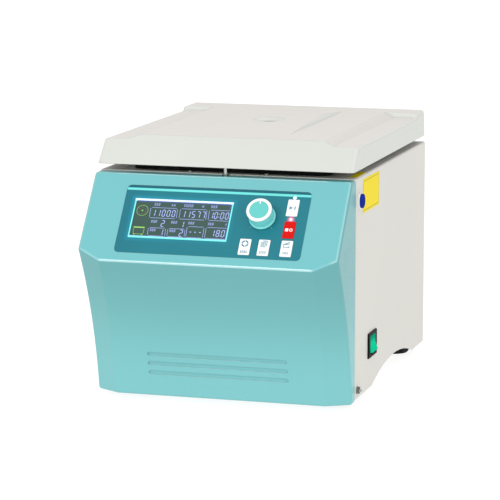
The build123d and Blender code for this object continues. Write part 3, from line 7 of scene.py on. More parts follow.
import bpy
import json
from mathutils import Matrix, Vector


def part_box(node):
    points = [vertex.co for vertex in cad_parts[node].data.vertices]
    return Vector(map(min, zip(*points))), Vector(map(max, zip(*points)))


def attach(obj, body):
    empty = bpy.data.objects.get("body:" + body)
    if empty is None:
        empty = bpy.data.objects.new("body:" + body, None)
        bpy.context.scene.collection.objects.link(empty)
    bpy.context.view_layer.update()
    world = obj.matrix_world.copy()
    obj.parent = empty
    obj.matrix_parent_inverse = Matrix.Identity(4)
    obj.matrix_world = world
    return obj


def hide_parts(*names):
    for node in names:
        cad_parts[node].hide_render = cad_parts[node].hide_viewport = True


bl_info = {
    "name": "Bench cytocentrifuge",
    "version": (1, 0, 0),
    "blender": (4, 5, 0),
    "location": "3D View > Sidebar > Cytocentrifuge",
    "description": "Finishes, display, key marks, springs, fixings and studio for a bench cytocentrifuge",
    "category": "Object",
}

import json
from math import cos, pi, radians, sin

import bpy
import numpy as np
from bpy.props import FloatProperty, FloatVectorProperty, PointerProperty
from bpy.types import Operator, Panel, PropertyGroup
from mathutils import Vector

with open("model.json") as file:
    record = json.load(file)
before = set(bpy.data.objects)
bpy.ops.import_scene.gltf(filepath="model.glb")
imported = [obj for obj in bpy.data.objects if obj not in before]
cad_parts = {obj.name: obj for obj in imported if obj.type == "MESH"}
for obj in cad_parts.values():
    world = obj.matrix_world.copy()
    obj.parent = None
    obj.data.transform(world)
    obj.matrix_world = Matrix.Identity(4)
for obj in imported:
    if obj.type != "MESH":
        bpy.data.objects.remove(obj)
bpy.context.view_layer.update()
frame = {"nodes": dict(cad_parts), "record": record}
MM = 0.001

# The control face, in metres: the middle of its ridge, the ways across it, up it and out of it, and its lean.
RIDGE = np.array((0.0, -0.2155, 0.170))
ACROSS = np.array((1.0, 0.0, 0.0))
FACE_UP = np.array((0.0, 0.60936, 0.79290))
FACE_OUT = np.array((0.0, -0.79290, 0.60936))
FACE_LEAN = np.arctan2(FACE_UP[2], FACE_UP[1])

# In mm: how far the overlay, the glass and the keys stand out of the face, and how deep a print is rooted.
OVERLAY_TOP, GLASS_TOP, KEY_TOP, PRINT_ROOT = -0.2, -0.1, 0.5, 0.02

# In mm across and up the control face: the knob, and the middle and half size of the display with its border.
KNOB, SCREEN, SCREEN_REACH = (56.2, 63.0), (-37.2, 55.7), (57.4, 24.7)

# In metres: the rotor's axis, and the side screws' plain heads and the caps over them.
ROTOR_AXIS = (0.0, 0.0425, 0.0)
HEAD_RADIUS, HEAD_RISE, CAP_RADIUS, CAP_RISE = 0.0038, 0.0018, 0.0043, 0.0046


def srgb(red, green, blue):
    """A colour given as it looks on a screen, from 0 to 255, as linear numbers."""
    shown = np.array((red, green, blue)) / 255
    return tuple(float(c) for c in np.where(shown < 0.04045, shown / 12.92, ((shown + 0.055) / 1.055) ** 2.4))


# ---------------- settings


def vector(name, default, description, subtype, **more):
    return FloatVectorProperty(name=name, description=description, subtype=subtype, size=3, default=default, **more)


def colour(name, default, description):
    return vector(name, srgb(*default), description, "COLOR", min=0.0, max=1.0)


def number(name, default, description, **more):
    return FloatProperty(name=name, description=description, default=default, min=0.0, **more)


def length(name, default, description):
    return number(name, default, description, subtype="DISTANCE", unit="LENGTH", precision=5)


class CytoColours(PropertyGroup):
    """Colours of the outside of the machine."""

    panel: colour("Panel", (108, 184, 188), "Moulded front panel")
    # painted shade: the panel's lower face is coloured darker just under the ridge and lighter towards its foot,
    # standing in for how the light falls on it
    panel_shading_under_ridge: colour("Panel drop", (97, 164, 166), "Moulded front panel just under its ridge")
    panel_shading_at_foot: colour("Panel foot", (117, 188, 190), "Moulded front panel near its bottom edge")
    overlay: colour("Overlay", (23, 119, 133), "Film behind the keys and the display")
    stripe: colour("Stripe", (112, 222, 216), "Light line along the top of the overlay")
    casing: colour("Casing", (210, 208, 201), "Powder coat of the wrap and the rear panel")
    # painted light: the lid has one tone for faces that look forward and sideways and a warmer one for upward faces,
    # standing in for how the light falls on them
    lid: colour("Lid", (208, 210, 204), "Moulded lid")
    lid_top_lit_tone: colour("Lid top", (221, 217, 212), "Upward faces of the lid, a little warmer")
    knob: colour("Knob", (96, 198, 192), "Knob and its cap")
    # painted light: the knob's side has a lighter tone than its cap, standing in for light falling on it
    knob_side_lit_tone: colour("Knob side", (126, 224, 220), "Side of the knob")
    key_white: colour("White keys", (246, 247, 246), "Start and function keys")
    key_red: colour("Stop key", (215, 16, 12), "Stop key")
    mark: colour("Mode mark", (34, 108, 142), "Symbol printed on the run mode key")
    mark_pale: colour("Key marks", (98, 148, 164), "Symbols printed on the other white keys")
    rocker: colour("Rocker", (14, 150, 112), "Lit rocker of the mains switch")
    plug: colour("Release plug", (30, 52, 152), "Plug over the lid's hand release")
    label: colour("Labels", (236, 214, 14), "Blank film labels")
    digits: colour("Digits", (158, 166, 222), "Lit digits and lines of the display")
    icons: colour("Icons", (138, 188, 96), "Lit pictures at the left of the display")


class CytoSizes(PropertyGroup):
    """Sizes of what is added to the frame."""

    digit_stroke: length("Digit stroke", 0.00074, "Width of a segment of the display's digits")
    line_stroke: length("Line stroke", 0.00046, "Width of the display's window lines")
    mark_stroke: length("Mark stroke", 0.00060, "Width of the lines of the key symbols")
    print_depth: length("Print thickness", 0.00006, "How far printed marks stand off their surface")
    spring_wire: length("Spring wire", 0.0007, "Radius of the wire of the lid springs")
    rear_screw: length("Rear screw", 0.0030, "Radius of the screw heads of the rear panel")


class CytoStudio(PropertyGroup):
    """Camera and light."""

    camera_place: vector("Camera", (0.838, -2.8585, 0.661), "Where the camera stands", "TRANSLATION", unit="LENGTH")
    camera_turn: vector(
        "Camera turn", (radians(90 - 9.69), 0.0, radians(16.54)), "Camera rotation", "EULER", unit="ROTATION"
    )
    camera_lens: number("Lens", 185.1, "Focal length", unit="CAMERA")
    key_power: number("Key light", 11.0, "Power of the wide light above the front", unit="POWER")
    side_power: number("Side light", 2.5, "Power of the light at the right", unit="POWER")
    sky: number("Room light", 1.0, "Brightness of the white room")
    table: number("Table light", 0.88, "Light that comes through the white table")


# ---------------- shader sums and finishes


def sum_node(operation, turned=False):
    """An operator of Signal: a Math node, with its operands turned round for the reflected form."""

    def act(self, other):
        pair = (other, self) if turned else (self, other)
        return self.finish.node("Math", {"operation": operation}, dict(enumerate(pair)))

    return act


class Signal:
    """A shader socket that takes part in sums."""

    def __init__(self, finish, socket):
        self.finish, self.socket = finish, socket

    __add__, __radd__ = sum_node("ADD"), sum_node("ADD", True)
    __sub__, __rsub__ = sum_node("SUBTRACT"), sum_node("SUBTRACT", True)
    __mul__, __rmul__ = sum_node("MULTIPLY"), sum_node("MULTIPLY", True)
    __truediv__, __rtruediv__ = sum_node("DIVIDE"), sum_node("DIVIDE", True)
    __pow__ = sum_node("POWER")
    low, high = sum_node("MINIMUM"), sum_node("MAXIMUM")
    wrap = sum_node("PINGPONG")

    def __abs__(self):
        return self.finish.node("Math", {"operation": "ABSOLUTE"}, {0: self})

    def span(self, other):
        """The long side of a square corner whose short sides are this and the other."""
        return (self * self + other * other) ** 0.5

    def sway(self, amount):
        """How far it is from a half, times an amount."""
        return (self - 0.5) * amount

    def band(self, start, end, low=0.0, high=1.0):
        """Low up to start, high from end, and smooth in between."""
        sockets = {0: self, 1: start, 2: end, 3: low, 4: high}
        return self.finish.node("MapRange", {"interpolation_type": "SMOOTHSTEP"}, sockets)


class Finish:
    """One procedural finish: a material, or the world, whose nodes are added by kind, settings and sockets."""

    def __init__(self, owner=None, shader="Principled BSDF", **constants):
        self.owner = owner or bpy.data.materials.new("finish")
        self.owner.use_nodes = True
        self.tree = self.owner.node_tree
        self.shader = self.tree.nodes[shader]
        self.edge_nodes = {}
        self.feed(**constants)

    def plug(self, node, sockets):
        """Sets or links the sockets of a node."""
        for key, value in sockets.items():
            if isinstance(value, Signal):
                self.tree.links.new(value.socket, node.inputs[key])
            else:
                node.inputs[key].default_value = value

    def feed(self, **sockets):
        """Sets or links sockets of the shader, whose names are given with underscores."""
        self.plug(self.shader, {key.replace("_", " "): value for key, value in sockets.items()})

    def node(self, kind, settings=None, sockets=None, out=0):
        """A new shader node of a kind: its settings first, then its sockets. Gives one of its outputs."""
        made = self.tree.nodes.new("ShaderNode" + kind)
        for key, value in (settings or {}).items():
            setattr(made, key, value)
        self.plug(made, sockets or {})
        return Signal(self, made.outputs[out])

    def vector(self, operation, first, second, out=0):
        return self.node("VectorMath", {"operation": operation}, {0: first, 1: second}, out)

    def place(self):
        """The piece's own coordinates, in metres."""
        return self.node("TexCoord", out="Object")

    def axes(self, where=None):
        """X, Y and Z of a place."""
        split = self.node("SeparateXYZ", {}, {0: where or self.place()})
        return [Signal(self, s) for s in split.socket.node.outputs]

    def on_face(self):
        """How far across the control face and how far up it, in millimetres."""
        turned = self.node("Mapping", {}, {"Vector": self.place(), "Rotation": (-FACE_LEAN, 0.0, 0.0)})
        x, up, _ = self.axes(turned)
        return x * 1000, (up - float(RIDGE @ FACE_UP)) * 1000

    def noise(self, cells, detail=2.0, rough=0.5, stretch=None, twist=0.0):
        """Cloudy noise, cells of it to the metre, from about 0.2 to 0.8."""
        where = self.vector("MULTIPLY", self.place(), stretch) if stretch else self.place()
        sockets = {"Vector": where, "Scale": cells, "Detail": detail, "Roughness": rough, "Distortion": twist}
        return self.node("TexNoise", {}, sockets)

    def cells(self, count, out=0):
        """Voronoi cells, count to the metre: how far the nearest one's middle is, or its colour."""
        return self.node("TexVoronoi", {}, {"Vector": self.place(), "Scale": count}, out)

    def rings(self, axis, pitch):
        """Fine turned lines round an upright axis: noise that changes only with the radius and the height."""
        x, y, z = self.axes(self.vector("SUBTRACT", self.place(), axis))
        line = self.node("CombineXYZ", {}, {0: x.span(y) / pitch, 1: z / pitch})
        return self.node("TexNoise", {}, {"Vector": line, "Scale": 1.0, "Detail": 2.0})

    def edges(self, radius):
        """The normal rounded over a radius in mm, and a mask that is 0 on the flat and rises towards 1 on an edge."""
        if radius not in self.edge_nodes:
            rounded = self.node("Bevel", {"samples": 4}, {"Radius": radius * MM})
            own = self.node("NewGeometry", out="Normal")
            turn = 1 - self.vector("DOT_PRODUCT", rounded, own, out="Value")
            self.edge_nodes[radius] = rounded, turn.band(0.01, 0.22)
        return self.edge_nodes[radius]

    def mix(self, factor, first, second):
        """Second colour over first by the factor."""
        pair = [c if isinstance(c, Signal) else (*c, 1.0) for c in (first, second)]
        return self.node("Mix", {"data_type": "RGBA"}, {0: factor, 6: pair[0], 7: pair[1]}, 2)

    def shade(self, tone, amount):
        """A colour made lighter or darker by an amount round 1."""
        return self.node("VectorMath", {"operation": "SCALE"}, {0: tone, "Scale": amount})

    def surface(self, base, rough, height=None, depth=0, soft=0, **others):
        """Feeds colour, roughness, any other sockets, and a relief whose depth is in micrometres, on edges that catch
        the light as if rounded over soft, in mm. Gives the finish."""
        self.feed(Base_Color=base, Roughness=rough, **others)
        if height:
            sockets = {"Height": height, "Distance": depth * MM / 1000, "Strength": 1.0}
            if soft:
                sockets["Normal"] = self.edges(soft)[0]
            self.feed(Normal=self.node("Bump", {}, sockets))
        return self


def plastic(tone, rough, grain, depth, mottle, soft, **constants):
    """Moulded plastic: fine spark texture, slow colour drift, flow marks, polished edges and faint wipe marks."""
    f = Finish(**constants)
    drift = f.noise(9)
    flow = f.noise(34, 3, stretch=(1, 0.35, 2.2), twist=0.6)
    spark = f.noise(grain, 2, 0.6)
    wipe = f.noise(26, 6, 0.7, stretch=(0.5, 1, 3), twist=1.2).band(0.55, 0.72)
    _, edge = f.edges(soft)
    light = 1 + drift.sway(mottle) + flow.sway(mottle * 0.5) + spark.sway(mottle * 0.6) + edge * 0.1
    rough = rough + spark.sway(0.12) + wipe * 0.035 - edge * 0.1 + drift.sway(0.06)
    return f.surface(f.shade(tone, light), rough, spark * 0.8 + flow * 0.6, depth, soft)


def lid_moulding(tones):
    """The lid: satin moulding. Painted light gives its upward faces a warmer tone and its short steps and front
    corners a painted highlight; painted shade darkens its folds, hollows, sloping bands and downward faces. The masks
    go by how far a face looks across, back and up."""
    f = Finish(Specular_IOR_Level=0.22)
    drift, spark = f.noise(7), f.noise(1300, 2, 0.6)
    flow = f.noise(30, 3, stretch=(1, 0.4, 2), twist=0.6)
    wipe = f.noise(22, 6, 0.7, stretch=(0.5, 1, 3), twist=1.2).band(0.55, 0.72)
    across, back, upward = f.axes(f.node("TexCoord", out="Normal"))
    across = abs(across)
    _, edge = f.edges(1.2)
    # painted shade: local occlusion darkens folds and hollows, and the edge mask darkens the lid's edges
    occlusion_shade = 1 - f.node("AmbientOcclusion", {"samples": 8, "only_local": True}, {"Distance": 0.006}, "AO")
    # painted light and shade: short steps are lighter, front corners get a painted highlight, and sloping bands are
    # darker, by where each face looks
    step = (across.band(0.5, 0.65) * upward.band(0.62, 0.69)).high(upward.band(0.7, 0.75)) * upward.band(0.86, 0.8)
    slope = upward.band(0.9, 0.93) * upward.band(0.97, 0.955)
    corner = across.band(0.25, 0.45) * across.band(0.9, 0.75) * back.band(-0.2, -0.35)
    # painted light: upward faces take the warmer lid tone
    tone = f.mix(upward.band(0.75, 0.97), tones.lid, tones.lid_top_lit_tone)
    # painted shade: faces that look down are mixed towards a dark grey
    tone = f.mix(upward.band(-0.5, -0.9), tone, srgb(120, 118, 112))
    light = (
        1 + drift.sway(0.03) + flow.sway(0.02) + spark.sway(0.03) + step * 0.1 + corner * 0.05 - slope * 0.05
        - edge * 0.22 - occlusion_shade.low(0.3) * 0.9 * upward.band(0.3, 0.6)
    )
    rough = 0.46 + spark.sway(0.12) + wipe * 0.05 - edge * 0.1
    return f.surface(f.shade(tone, light), rough, spark * 0.8 + flow * 0.6, 12, 1.2)


def powder_coat(tone):
    """Powder coat on sheet steel: orange peel, pin-prick specks, and worn edges that go a little lighter."""
    f = Finish(Specular_IOR_Level=0.22)
    drift, peel, fine = f.noise(6), f.noise(520), f.noise(2600, 1)
    speck = f.cells(900).band(0.1, 0.02) * f.noise(60, 1).band(0.5, 0.7)
    scuff = f.noise(48, 8, 0.75, stretch=(1, 0.6, 2.4), twist=1.5).band(0.62, 0.78)
    low = f.axes()[2].band(0.06, 0.014)
    _, edge = f.edges(0.8)
    base = f.shade(tone, 1 + drift.sway(0.05) + fine.sway(0.04) + edge * 0.05 - scuff * low * 0.08)
    base = f.mix(speck * 0.28, base, srgb(168, 160, 148))
    rough = 0.46 + peel.sway(0.16) + scuff * 0.1 - edge * 0.08
    return f.surface(base, rough, peel + fine * 0.3, 22, 0.8)


def metal(tone, rough, lines=(500, 500, 40), axis=None, pitch=0.0004, soft=0.3, tarnish=0.1):
    """Metal: lines drawn along one way or turned round an axis, cloudy tarnish, scratches and brighter edges."""
    f = Finish(Metallic=1)
    drawn = f.rings(axis, pitch) if axis else f.noise(1, 3, 0.6, stretch=lines)
    cloud = f.noise(30, 5, 0.6, twist=0.8)
    scratch = f.noise(70, 2, 0.4, stretch=(1, 14, 2)).band(0.66, 0.72)
    _, edge = f.edges(soft)
    light = 1 + drawn.sway(0.16) - (cloud - 0.4) * tarnish * 2 + edge * 0.12 + scratch * 0.06
    rough = rough + drawn.sway(0.22) + cloud.sway(0.18) - scratch * 0.06
    return f.surface(f.shade(tone, light), rough, drawn, 6, soft)


def cap_metal():
    """The cap screws: a bright turned end face over a duller knurled side, round a socket coloured near black as
    painted shade.
    """
    f = Finish(Metallic=1)
    low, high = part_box("case_screws")
    x, y, z = f.axes()
    away = (y - (high.y - HEAD_RADIUS)).span(z - (low.z + HEAD_RADIUS))
    reach = high.x - HEAD_RISE + CAP_RISE
    end, socket = abs(x).band(reach - 0.0006, reach - 0.0003), away.band(0.0022, 0.0019)
    grime, rings = f.noise(900, 4), (away * 9000).wrap(1)
    # painted shade: the socket is mixed towards near black
    tone = f.mix(socket, f.mix(end, srgb(134, 131, 126), srgb(216, 214, 210)), srgb(30, 29, 28))
    return f.surface(f.shade(tone, 1 + grime.sway(0.2) + rings.sway(0.06)), 0.22 + grime.sway(0.12))


def zinc(tone):
    """Zinc-plated sheet: pale spangle, a little straw and blue in it, dull in patches."""
    f = Finish(Metallic=1)
    spangle = f.cells(260, out="Color")
    grey = f.axes(spangle)[0]
    cloud = f.noise(22, 5, 0.6, twist=0.7)
    _, edge = f.edges(0.3)
    hue = f.mix(cloud.band(0.4, 0.62), tone, srgb(196, 190, 160))
    base = f.shade(hue, 0.95 + grey.sway(0.1) + edge * 0.15)
    return f.surface(base, 0.36 + grey.sway(0.1) + cloud * 0.14, f.noise(1400), 6, 0.3)


def rubber(tone):
    """Moulded rubber: matt, finely pitted, with grey bloom in patches and along its edges."""
    f = Finish(Specular_IOR_Level=0.15)
    pit, cloud = f.noise(1700, 3, 0.7), f.noise(40, 5, 0.65, twist=0.5)
    _, edge = f.edges(0.6)
    dusty = cloud.band(0.48, 0.72) * 0.3 + edge * 0.25
    base = f.mix(dusty, f.shade(tone, 0.85 + pit * 0.3), srgb(92, 90, 86))
    return f.surface(base, 0.7 + pit.sway(0.2) + dusty * 0.1, pit + cloud * 0.4, 22, 0.5)


def clear(tone, rough, haze, through=0.9):
    """Clear glass or plastic: faint smears that dull it, and a tinted edge."""
    f = Finish(Transmission_Weight=through, IOR=1.5)
    smear = f.noise(28, 6, 0.7, stretch=(1, 2.2, 0.6), twist=1.4).band(0.5, 0.75)
    ripple = f.noise(160)
    _, edge = f.edges(0.3)
    base = f.shade(tone, 1 - smear * 0.05 - edge * 0.18)
    return f.surface(base, rough + smear * haze + ripple.sway(0.02), ripple, 8)


def panel_teal(tones):
    """The front panel: satin paint on moulded plastic, with painted shade that is darkest just under its ridge and
    lighter towards its foot, and a glossy coat with a painted highlight round its folds.
    """
    f = Finish(Coat_IOR=2, Coat_Roughness=0.22, Specular_IOR_Level=0.35)
    drift, peel, fine = f.noise(5), f.noise(430), f.noise(2200)
    wipe = f.noise(20, 7, 0.7, stretch=(0.6, 1, 2.6), twist=1.3).band(0.54, 0.74)
    across, _, height = f.axes()
    facing = f.vector("DOT_PRODUCT", f.node("TexCoord", out="Normal"), FACE_OUT.tolist(), out="Value")
    # the painted highlight and the coat on the folds fade down the corners and at the ends of the ridge
    dull = across.band(0.12, 0.125) * across.band(0.146, 0.14) * 0.9 + across.band(-0.12, -0.125) * 0.6
    dull = dull.high(abs(across).band(0.132, 0.138) * height.band(0.164, 0.172) * 0.5)
    fold_gloss_and_highlight = facing.band(0.66, 0.76) * facing.band(0.995, 0.95) * (1 - dull)
    _, edge = f.edges(1.4)
    # painted shade: faces that lean away from the control face take a tone that is darkest under the ridge and grows
    # lighter towards the foot
    drop = f.mix(height.band(0.165, 0.02), tones.panel_shading_under_ridge, tones.panel_shading_at_foot)
    tone = f.mix(facing.band(0.74, 0.66), tones.panel, drop)
    # painted highlight: the edges and the ridge's folds are mixed towards a pale sheen colour
    tone = f.mix(edge * 0.2 + fold_gloss_and_highlight * 0.42, tone, srgb(206, 234, 235))
    base = f.shade(tone, 1 + drift.sway(0.06) + fine.sway(0.05) - wipe * 0.015)
    rough = 0.36 + peel.sway(0.12) + wipe * 0.08 + fine.sway(0.06) - edge * 0.06
    return f.surface(base, rough, peel + fine * 0.35, 16, 1.4, Coat_Weight=0.12 + fold_gloss_and_highlight * 0.88)


def overlay_film(tones):
    """The overlay: fine matt film, a light stripe printed along its top, and light from the display and the lamps."""
    f = Finish(Emission_Strength=1, Specular_IOR_Level=0.3)
    x, up = f.on_face()
    matt, cloud = f.noise(3200, 2, 0.6), f.noise(14, 3)
    foot, top = 91, 94.4  # of the light stripe
    stripe, shade_above_stripe = up.band(foot, foot + 0.5) * up.band(top, top - 0.5), up.band(top - 0.2, top + 0.4)
    beside, over = ((abs(place - SCREEN[i]) - SCREEN_REACH[i]).high(0) for i, place in enumerate((x, up)))
    glow = beside.span(over).band(6, 0) * (0.05 + x.band(-20, -110) * 0.1 + up.band(70, 86) * 0.1)
    from_red, from_white = ((x - lamp[0]).span(up - lamp[1]) for lamp in ((88.5, 62.6), (88.5, 89.75)))
    shadow = f.mix(x.band(-60, -108) * 0.3 + up.band(86, 97) * 0.2, tones.overlay, srgb(8, 94, 116))
    base = f.shade(shadow, 1 + cloud.sway(0.08) + matt.sway(0.08))
    base = f.mix(stripe, base, tones.stripe)
    # painted shade: a dark band above the light stripe stands in for the shadow of the recess's top wall
    base = f.mix(shade_above_stripe * 0.6, base, srgb(10, 84, 102))
    lit = f.mix(glow, (0, 0, 0), srgb(20, 190, 236))
    lit = f.mix(from_red.band(5.6, 1.6) ** 1.3, lit, srgb(255, 66, 118))
    lit = f.mix(from_white.band(3.6, 1.6) * 0.3, lit, srgb(170, 220, 226))
    rough = 0.42 + matt.sway(0.16) + cloud.sway(0.06)
    return f.surface(base, rough, matt, 6, Emission_Color=lit)


def display_border():
    """The border of the display: pale cyan plastic lit from behind, brighter along its top, with a violet line along
    its foot and a dark rim round the glass."""
    f = Finish(Emission_Strength=0.4)
    x, up = f.on_face()
    cloud, fine = f.noise(60), f.noise(2400)
    foot, top, reach = 33.4, 77.6, 56  # of the glass: its foot, its top and half its width
    tone = f.mix(up.band(top - 0.6, top + 1.4) * 0.85, srgb(112, 212, 208), srgb(222, 232, 255))
    tone = f.mix(up.band(foot - 0.8, foot) * up.band(foot + 1.1, foot + 0.2) * 0.5, tone, srgb(176, 168, 214))
    within = abs(x - SCREEN[0]).band(reach, reach - 0.4)
    tone = f.mix(within * up.band(top, top - 0.6) * up.band(foot, foot + 0.6), tone, srgb(44, 70, 74))
    tone = f.shade(tone, 0.92 + cloud * 0.16)
    return f.surface(tone, 0.3 + fine.sway(0.1), fine, 6, 0.3, Emission_Color=tone)


def display_panel():
    """The display: dark green-grey glass with fine picture cells and light that bleeds in from three sides."""
    f = Finish(Coat_Weight=0.3, Coat_Roughness=0.08, Emission_Strength=1)
    x, up = f.on_face()
    half = 0.35  # mm: half a picture cell
    cell = (x.wrap(half) / half).band(0.86, 1) + (up.wrap(half) / half).band(0.86, 1)
    cloud = f.noise(24, 3)
    smear = f.noise(30, 6, 0.7, stretch=(1, 1.6, 1.6), twist=1.2).band(0.55, 0.75)
    bleed = up.band(75.5, 78.4) ** 2 + up.band(34.6, 33) * 0.7 + x.band(14, 18) ** 2 * 0.35
    base = f.shade(srgb(30, 56, 50), 0.9 + cloud * 0.2 + cell * 0.12)
    lit = f.mix(bleed, f.shade(srgb(30, 58, 52), 0.6 + cloud * 0.7), srgb(100, 82, 214))
    return f.surface(base, 0.12 + smear * 0.12, Emission_Color=lit)


def glowing(tone, strength, shine=0):
    """A lit print or lens: even light, slightly clouded."""
    f = Finish(Emission_Strength=strength, Specular_IOR_Level=shine)
    cloud = f.noise(420)
    shown = f.shade(tone, 0.9 + cloud * 0.2)
    return f.surface(shown, 0.3 + cloud.sway(0.1), Emission_Color=shown)


def ink(tone):
    """Screen-printed ink: a faint mesh grain and slightly uneven coverage."""
    f = Finish()
    mesh, cloud = f.noise(3800, 1), f.noise(260, 3)
    return f.surface(f.shade(tone, 0.94 + mesh * 0.08 + cloud * 0.06), 0.5 + mesh.sway(0.15), mesh, 4)


def rocker_lens(tones):
    """The lit rocker: clear green plastic with upright ribs inside it, brightest in its middle."""
    f = Finish(Specular_IOR_Level=0, Emission_Strength=0.5)
    _, y, z = f.axes()
    width, level = 0.0016, 0.0577  # of a rib, and of the rocker's middle
    rib = (y.wrap(width) / width).band(0.2, 0.8)
    middle = abs(z - level).band(0.01, 0.004)
    cloud = f.noise(300)
    tone = f.shade(tones.rocker, 0.55 + rib * 0.6 + middle * 0.35 + cloud.sway(0.2))
    lit = f.shade(tone, 0.5 + middle * 0.7)
    return f.surface(tone, 0.32 + cloud.sway(0.1), rib, 60, 0.4, Emission_Color=lit)


def label_film(tones):
    """Blank yellow film label: a thin darker border line set in from its edge, slight orange peel and a dusty rim."""
    f = Finish(Specular_IOR_Level=0.03)
    peel, cloud = f.noise(700), f.noise(24, 3)
    _, edge = f.edges(0.8)
    _, y, z = f.axes()
    middle, reach = (-0.061, 0.2364), (0.0346, 0.0163)  # of the border line, back and up
    inset = (abs(y - middle[0]) - reach[0]).high(abs(z - middle[1]) - reach[1])
    line = inset.band(-0.0001, 0.0001) * inset.band(0.0008, 0.0006)
    base = f.mix(line * 0.75, f.shade(tones.label, 0.96 + cloud * 0.08), srgb(84, 70, 22))
    base = f.mix(edge * 0.5, base, srgb(196, 168, 30))
    return f.surface(base, 0.38 + peel.sway(0.12), peel, 10)


def circuit(tone):
    """Circuit board: solder mask over copper runs, with tinned pads."""
    f = Finish()
    run = f.node("TexBrick", {}, {"Vector": f.place(), "Scale": 130, "Mortar Size": 0.03}, "Fac")
    pad = f.cells(210).band(0.16, 0.12)
    cloud = f.noise(50, 3)
    base = f.mix(run * 0.4, f.shade(tone, 0.85 + cloud * 0.3), srgb(60, 140, 78))
    base = f.mix(pad, base, srgb(196, 192, 180))
    return f.surface(base, 0.38 - pad * 0.1 + cloud * 0.1, run * 0.5 + pad, 30, Metallic=pad)


def card(tone):
    """Absorbent filter card: pressed fibres, warm flecks and soft fuzz."""
    f = Finish(Sheen_Weight=0.25)
    fibre = f.noise(900, 6, 0.75, stretch=(1, 0.3, 1), twist=2.5)
    fleck = f.noise(240, 4).band(0.6, 0.7)
    base = f.mix(fleck * 0.25, f.shade(tone, 0.9 + fibre * 0.2), srgb(214, 204, 180))
    return f.surface(base, 0.88 + fibre.sway(0.15), fibre, 80)


STEEL = srgb(196, 196, 193)

# How each finish is made from the user's colours. It is named for the record's slot, or for the part that differs.
FINISHES = {
    "casing_paint": lambda t: powder_coat(t.casing),
    "lid_plastic": lid_moulding,
    "panel_teal": panel_teal,
    "overlay_teal": overlay_film,
    "display_cyan": lambda t: display_border(),
    "display_glass": lambda t: display_panel(),
    "black_plastic": lambda t: plastic(srgb(34, 34, 35), 0.48, 1100, 18, 0.2, 0.4),
    "switch_bezel": lambda t: plastic(srgb(24, 24, 25), 0.5, 1100, 18, 0.2, 0.4, Specular_IOR_Level=0.05),
    "circuit_green": lambda t: circuit(srgb(16, 92, 52)),
    "lamp_white": lambda t: glowing(srgb(240, 252, 252), 0.7, 0.5),
    "lamp_red": lambda t: glowing(srgb(255, 190, 206), 1, 0.5),
    "stainless": lambda t: metal(STEEL, 0.26),
    "chamber_bowl": lambda t: metal(srgb(226, 226, 223), 0.4, axis=ROTOR_AXIS, pitch=0.0007, tarnish=0.05),
    "motor_shaft": lambda t: metal(STEEL, 0.22, axis=ROTOR_AXIS, pitch=0.0003),
    "steel_guard": lambda t: metal(srgb(96, 98, 100), 0.5, lines=(90, 90, 600), tarnish=0.3),
    "zinc_steel": lambda t: zinc(srgb(192, 195, 198)),
    "spring_steel": lambda t: metal(srgb(140, 140, 142), 0.34, lines=(900, 60, 60), tarnish=0.2),
    "side_screws": lambda t: cap_metal(),
    "chrome_screw": lambda t: metal(srgb(214, 214, 214), 0.14, lines=(900, 900, 900), tarnish=0.04),
    "case_screws": lambda t: metal(srgb(168, 165, 161), 0.12, lines=(900, 900, 900)),
    "black_rubber": lambda t: rubber(srgb(18, 18, 18)),
    "motor_cast": lambda t: plastic(srgb(58, 62, 66), 0.5, 420, 80, 0.25, 0.8),
    "white_plastic": lambda t: plastic(srgb(240, 241, 238), 0.26, 1800, 4, 0.03, 0.4),
    "key_white": lambda t: plastic(t.key_white, 0.32, 2200, 5, 0.03, 0.4, Coat_Weight=0.2),
    "key_red": lambda t: plastic(t.key_red, 0.36, 2200, 5, 0.06, 0.4, Specular_IOR_Level=0.12),
    "knob_teal": lambda t: plastic(t.knob, 0.3, 1500, 6, 0.05, 0.5, Coat_Weight=0.2),
    # painted light: the knob's side takes the lighter knob tone
    "knob_body": lambda t: plastic(t.knob_side_lit_tone, 0.34, 1500, 6, 0.05, 0.5, Coat_Weight=0.2),
    "blue_plastic": lambda t: plastic(t.plug, 0.34, 1500, 6, 0.1, 0.4, Specular_IOR_Level=0),
    "rocker_green": rocker_lens,
    "label_yellow": label_film,
    "liner_aluminium": lambda t: metal(srgb(206, 207, 208), 0.34, lines=(18, 900, 900), tarnish=0.05),
    "rotor_aluminium": lambda t: metal(
        srgb(214, 218, 222), 0.42, axis=ROTOR_AXIS, pitch=0.0005, soft=0.5, tarnish=0.06
    ),
    "window_glass": lambda t: clear((0.96, 0.98, 0.98), 0.04, 0.1),
    "slide_glass": lambda t: clear((0.9, 0.97, 0.95), 0.03, 0.08),
    "funnel_plastic": lambda t: clear((0.93, 0.95, 0.97), 0.3, 0.14, 0.35),
    "card_white": lambda t: card(srgb(240, 239, 230)),
    "lit_digits": lambda t: glowing(t.digits, 0.62),
    "lit_lines": lambda t: glowing(t.digits, 0.35),
    "lit_icons": lambda t: glowing(t.icons, 0.3),
    "lit_stations": lambda t: glowing(srgb(150, 66, 50), 0.3),
    "key_ink": lambda t: ink(t.mark),
    "pale_ink": lambda t: ink(t.mark_pale),
    "white_ink": lambda t: ink(srgb(248, 250, 250)),
}


def finish(context, name):
    """The finish of that name, made the first time it is asked for."""
    called = f"{name}_finish"
    if called not in bpy.data.materials:
        FINISHES[name](context.scene.cyto_colours).owner.name = called
    return bpy.data.materials[called]


# ---------------- shapes


def on_face(flat, lift):
    """Points of the control face: flat holds x across and y up the face, lift is how far out, all in millimetres."""
    flat = np.asarray(flat, float)
    return RIDGE + MM * (flat[..., :1] * ACROSS + flat[..., 1:] * FACE_UP + lift * FACE_OUT)


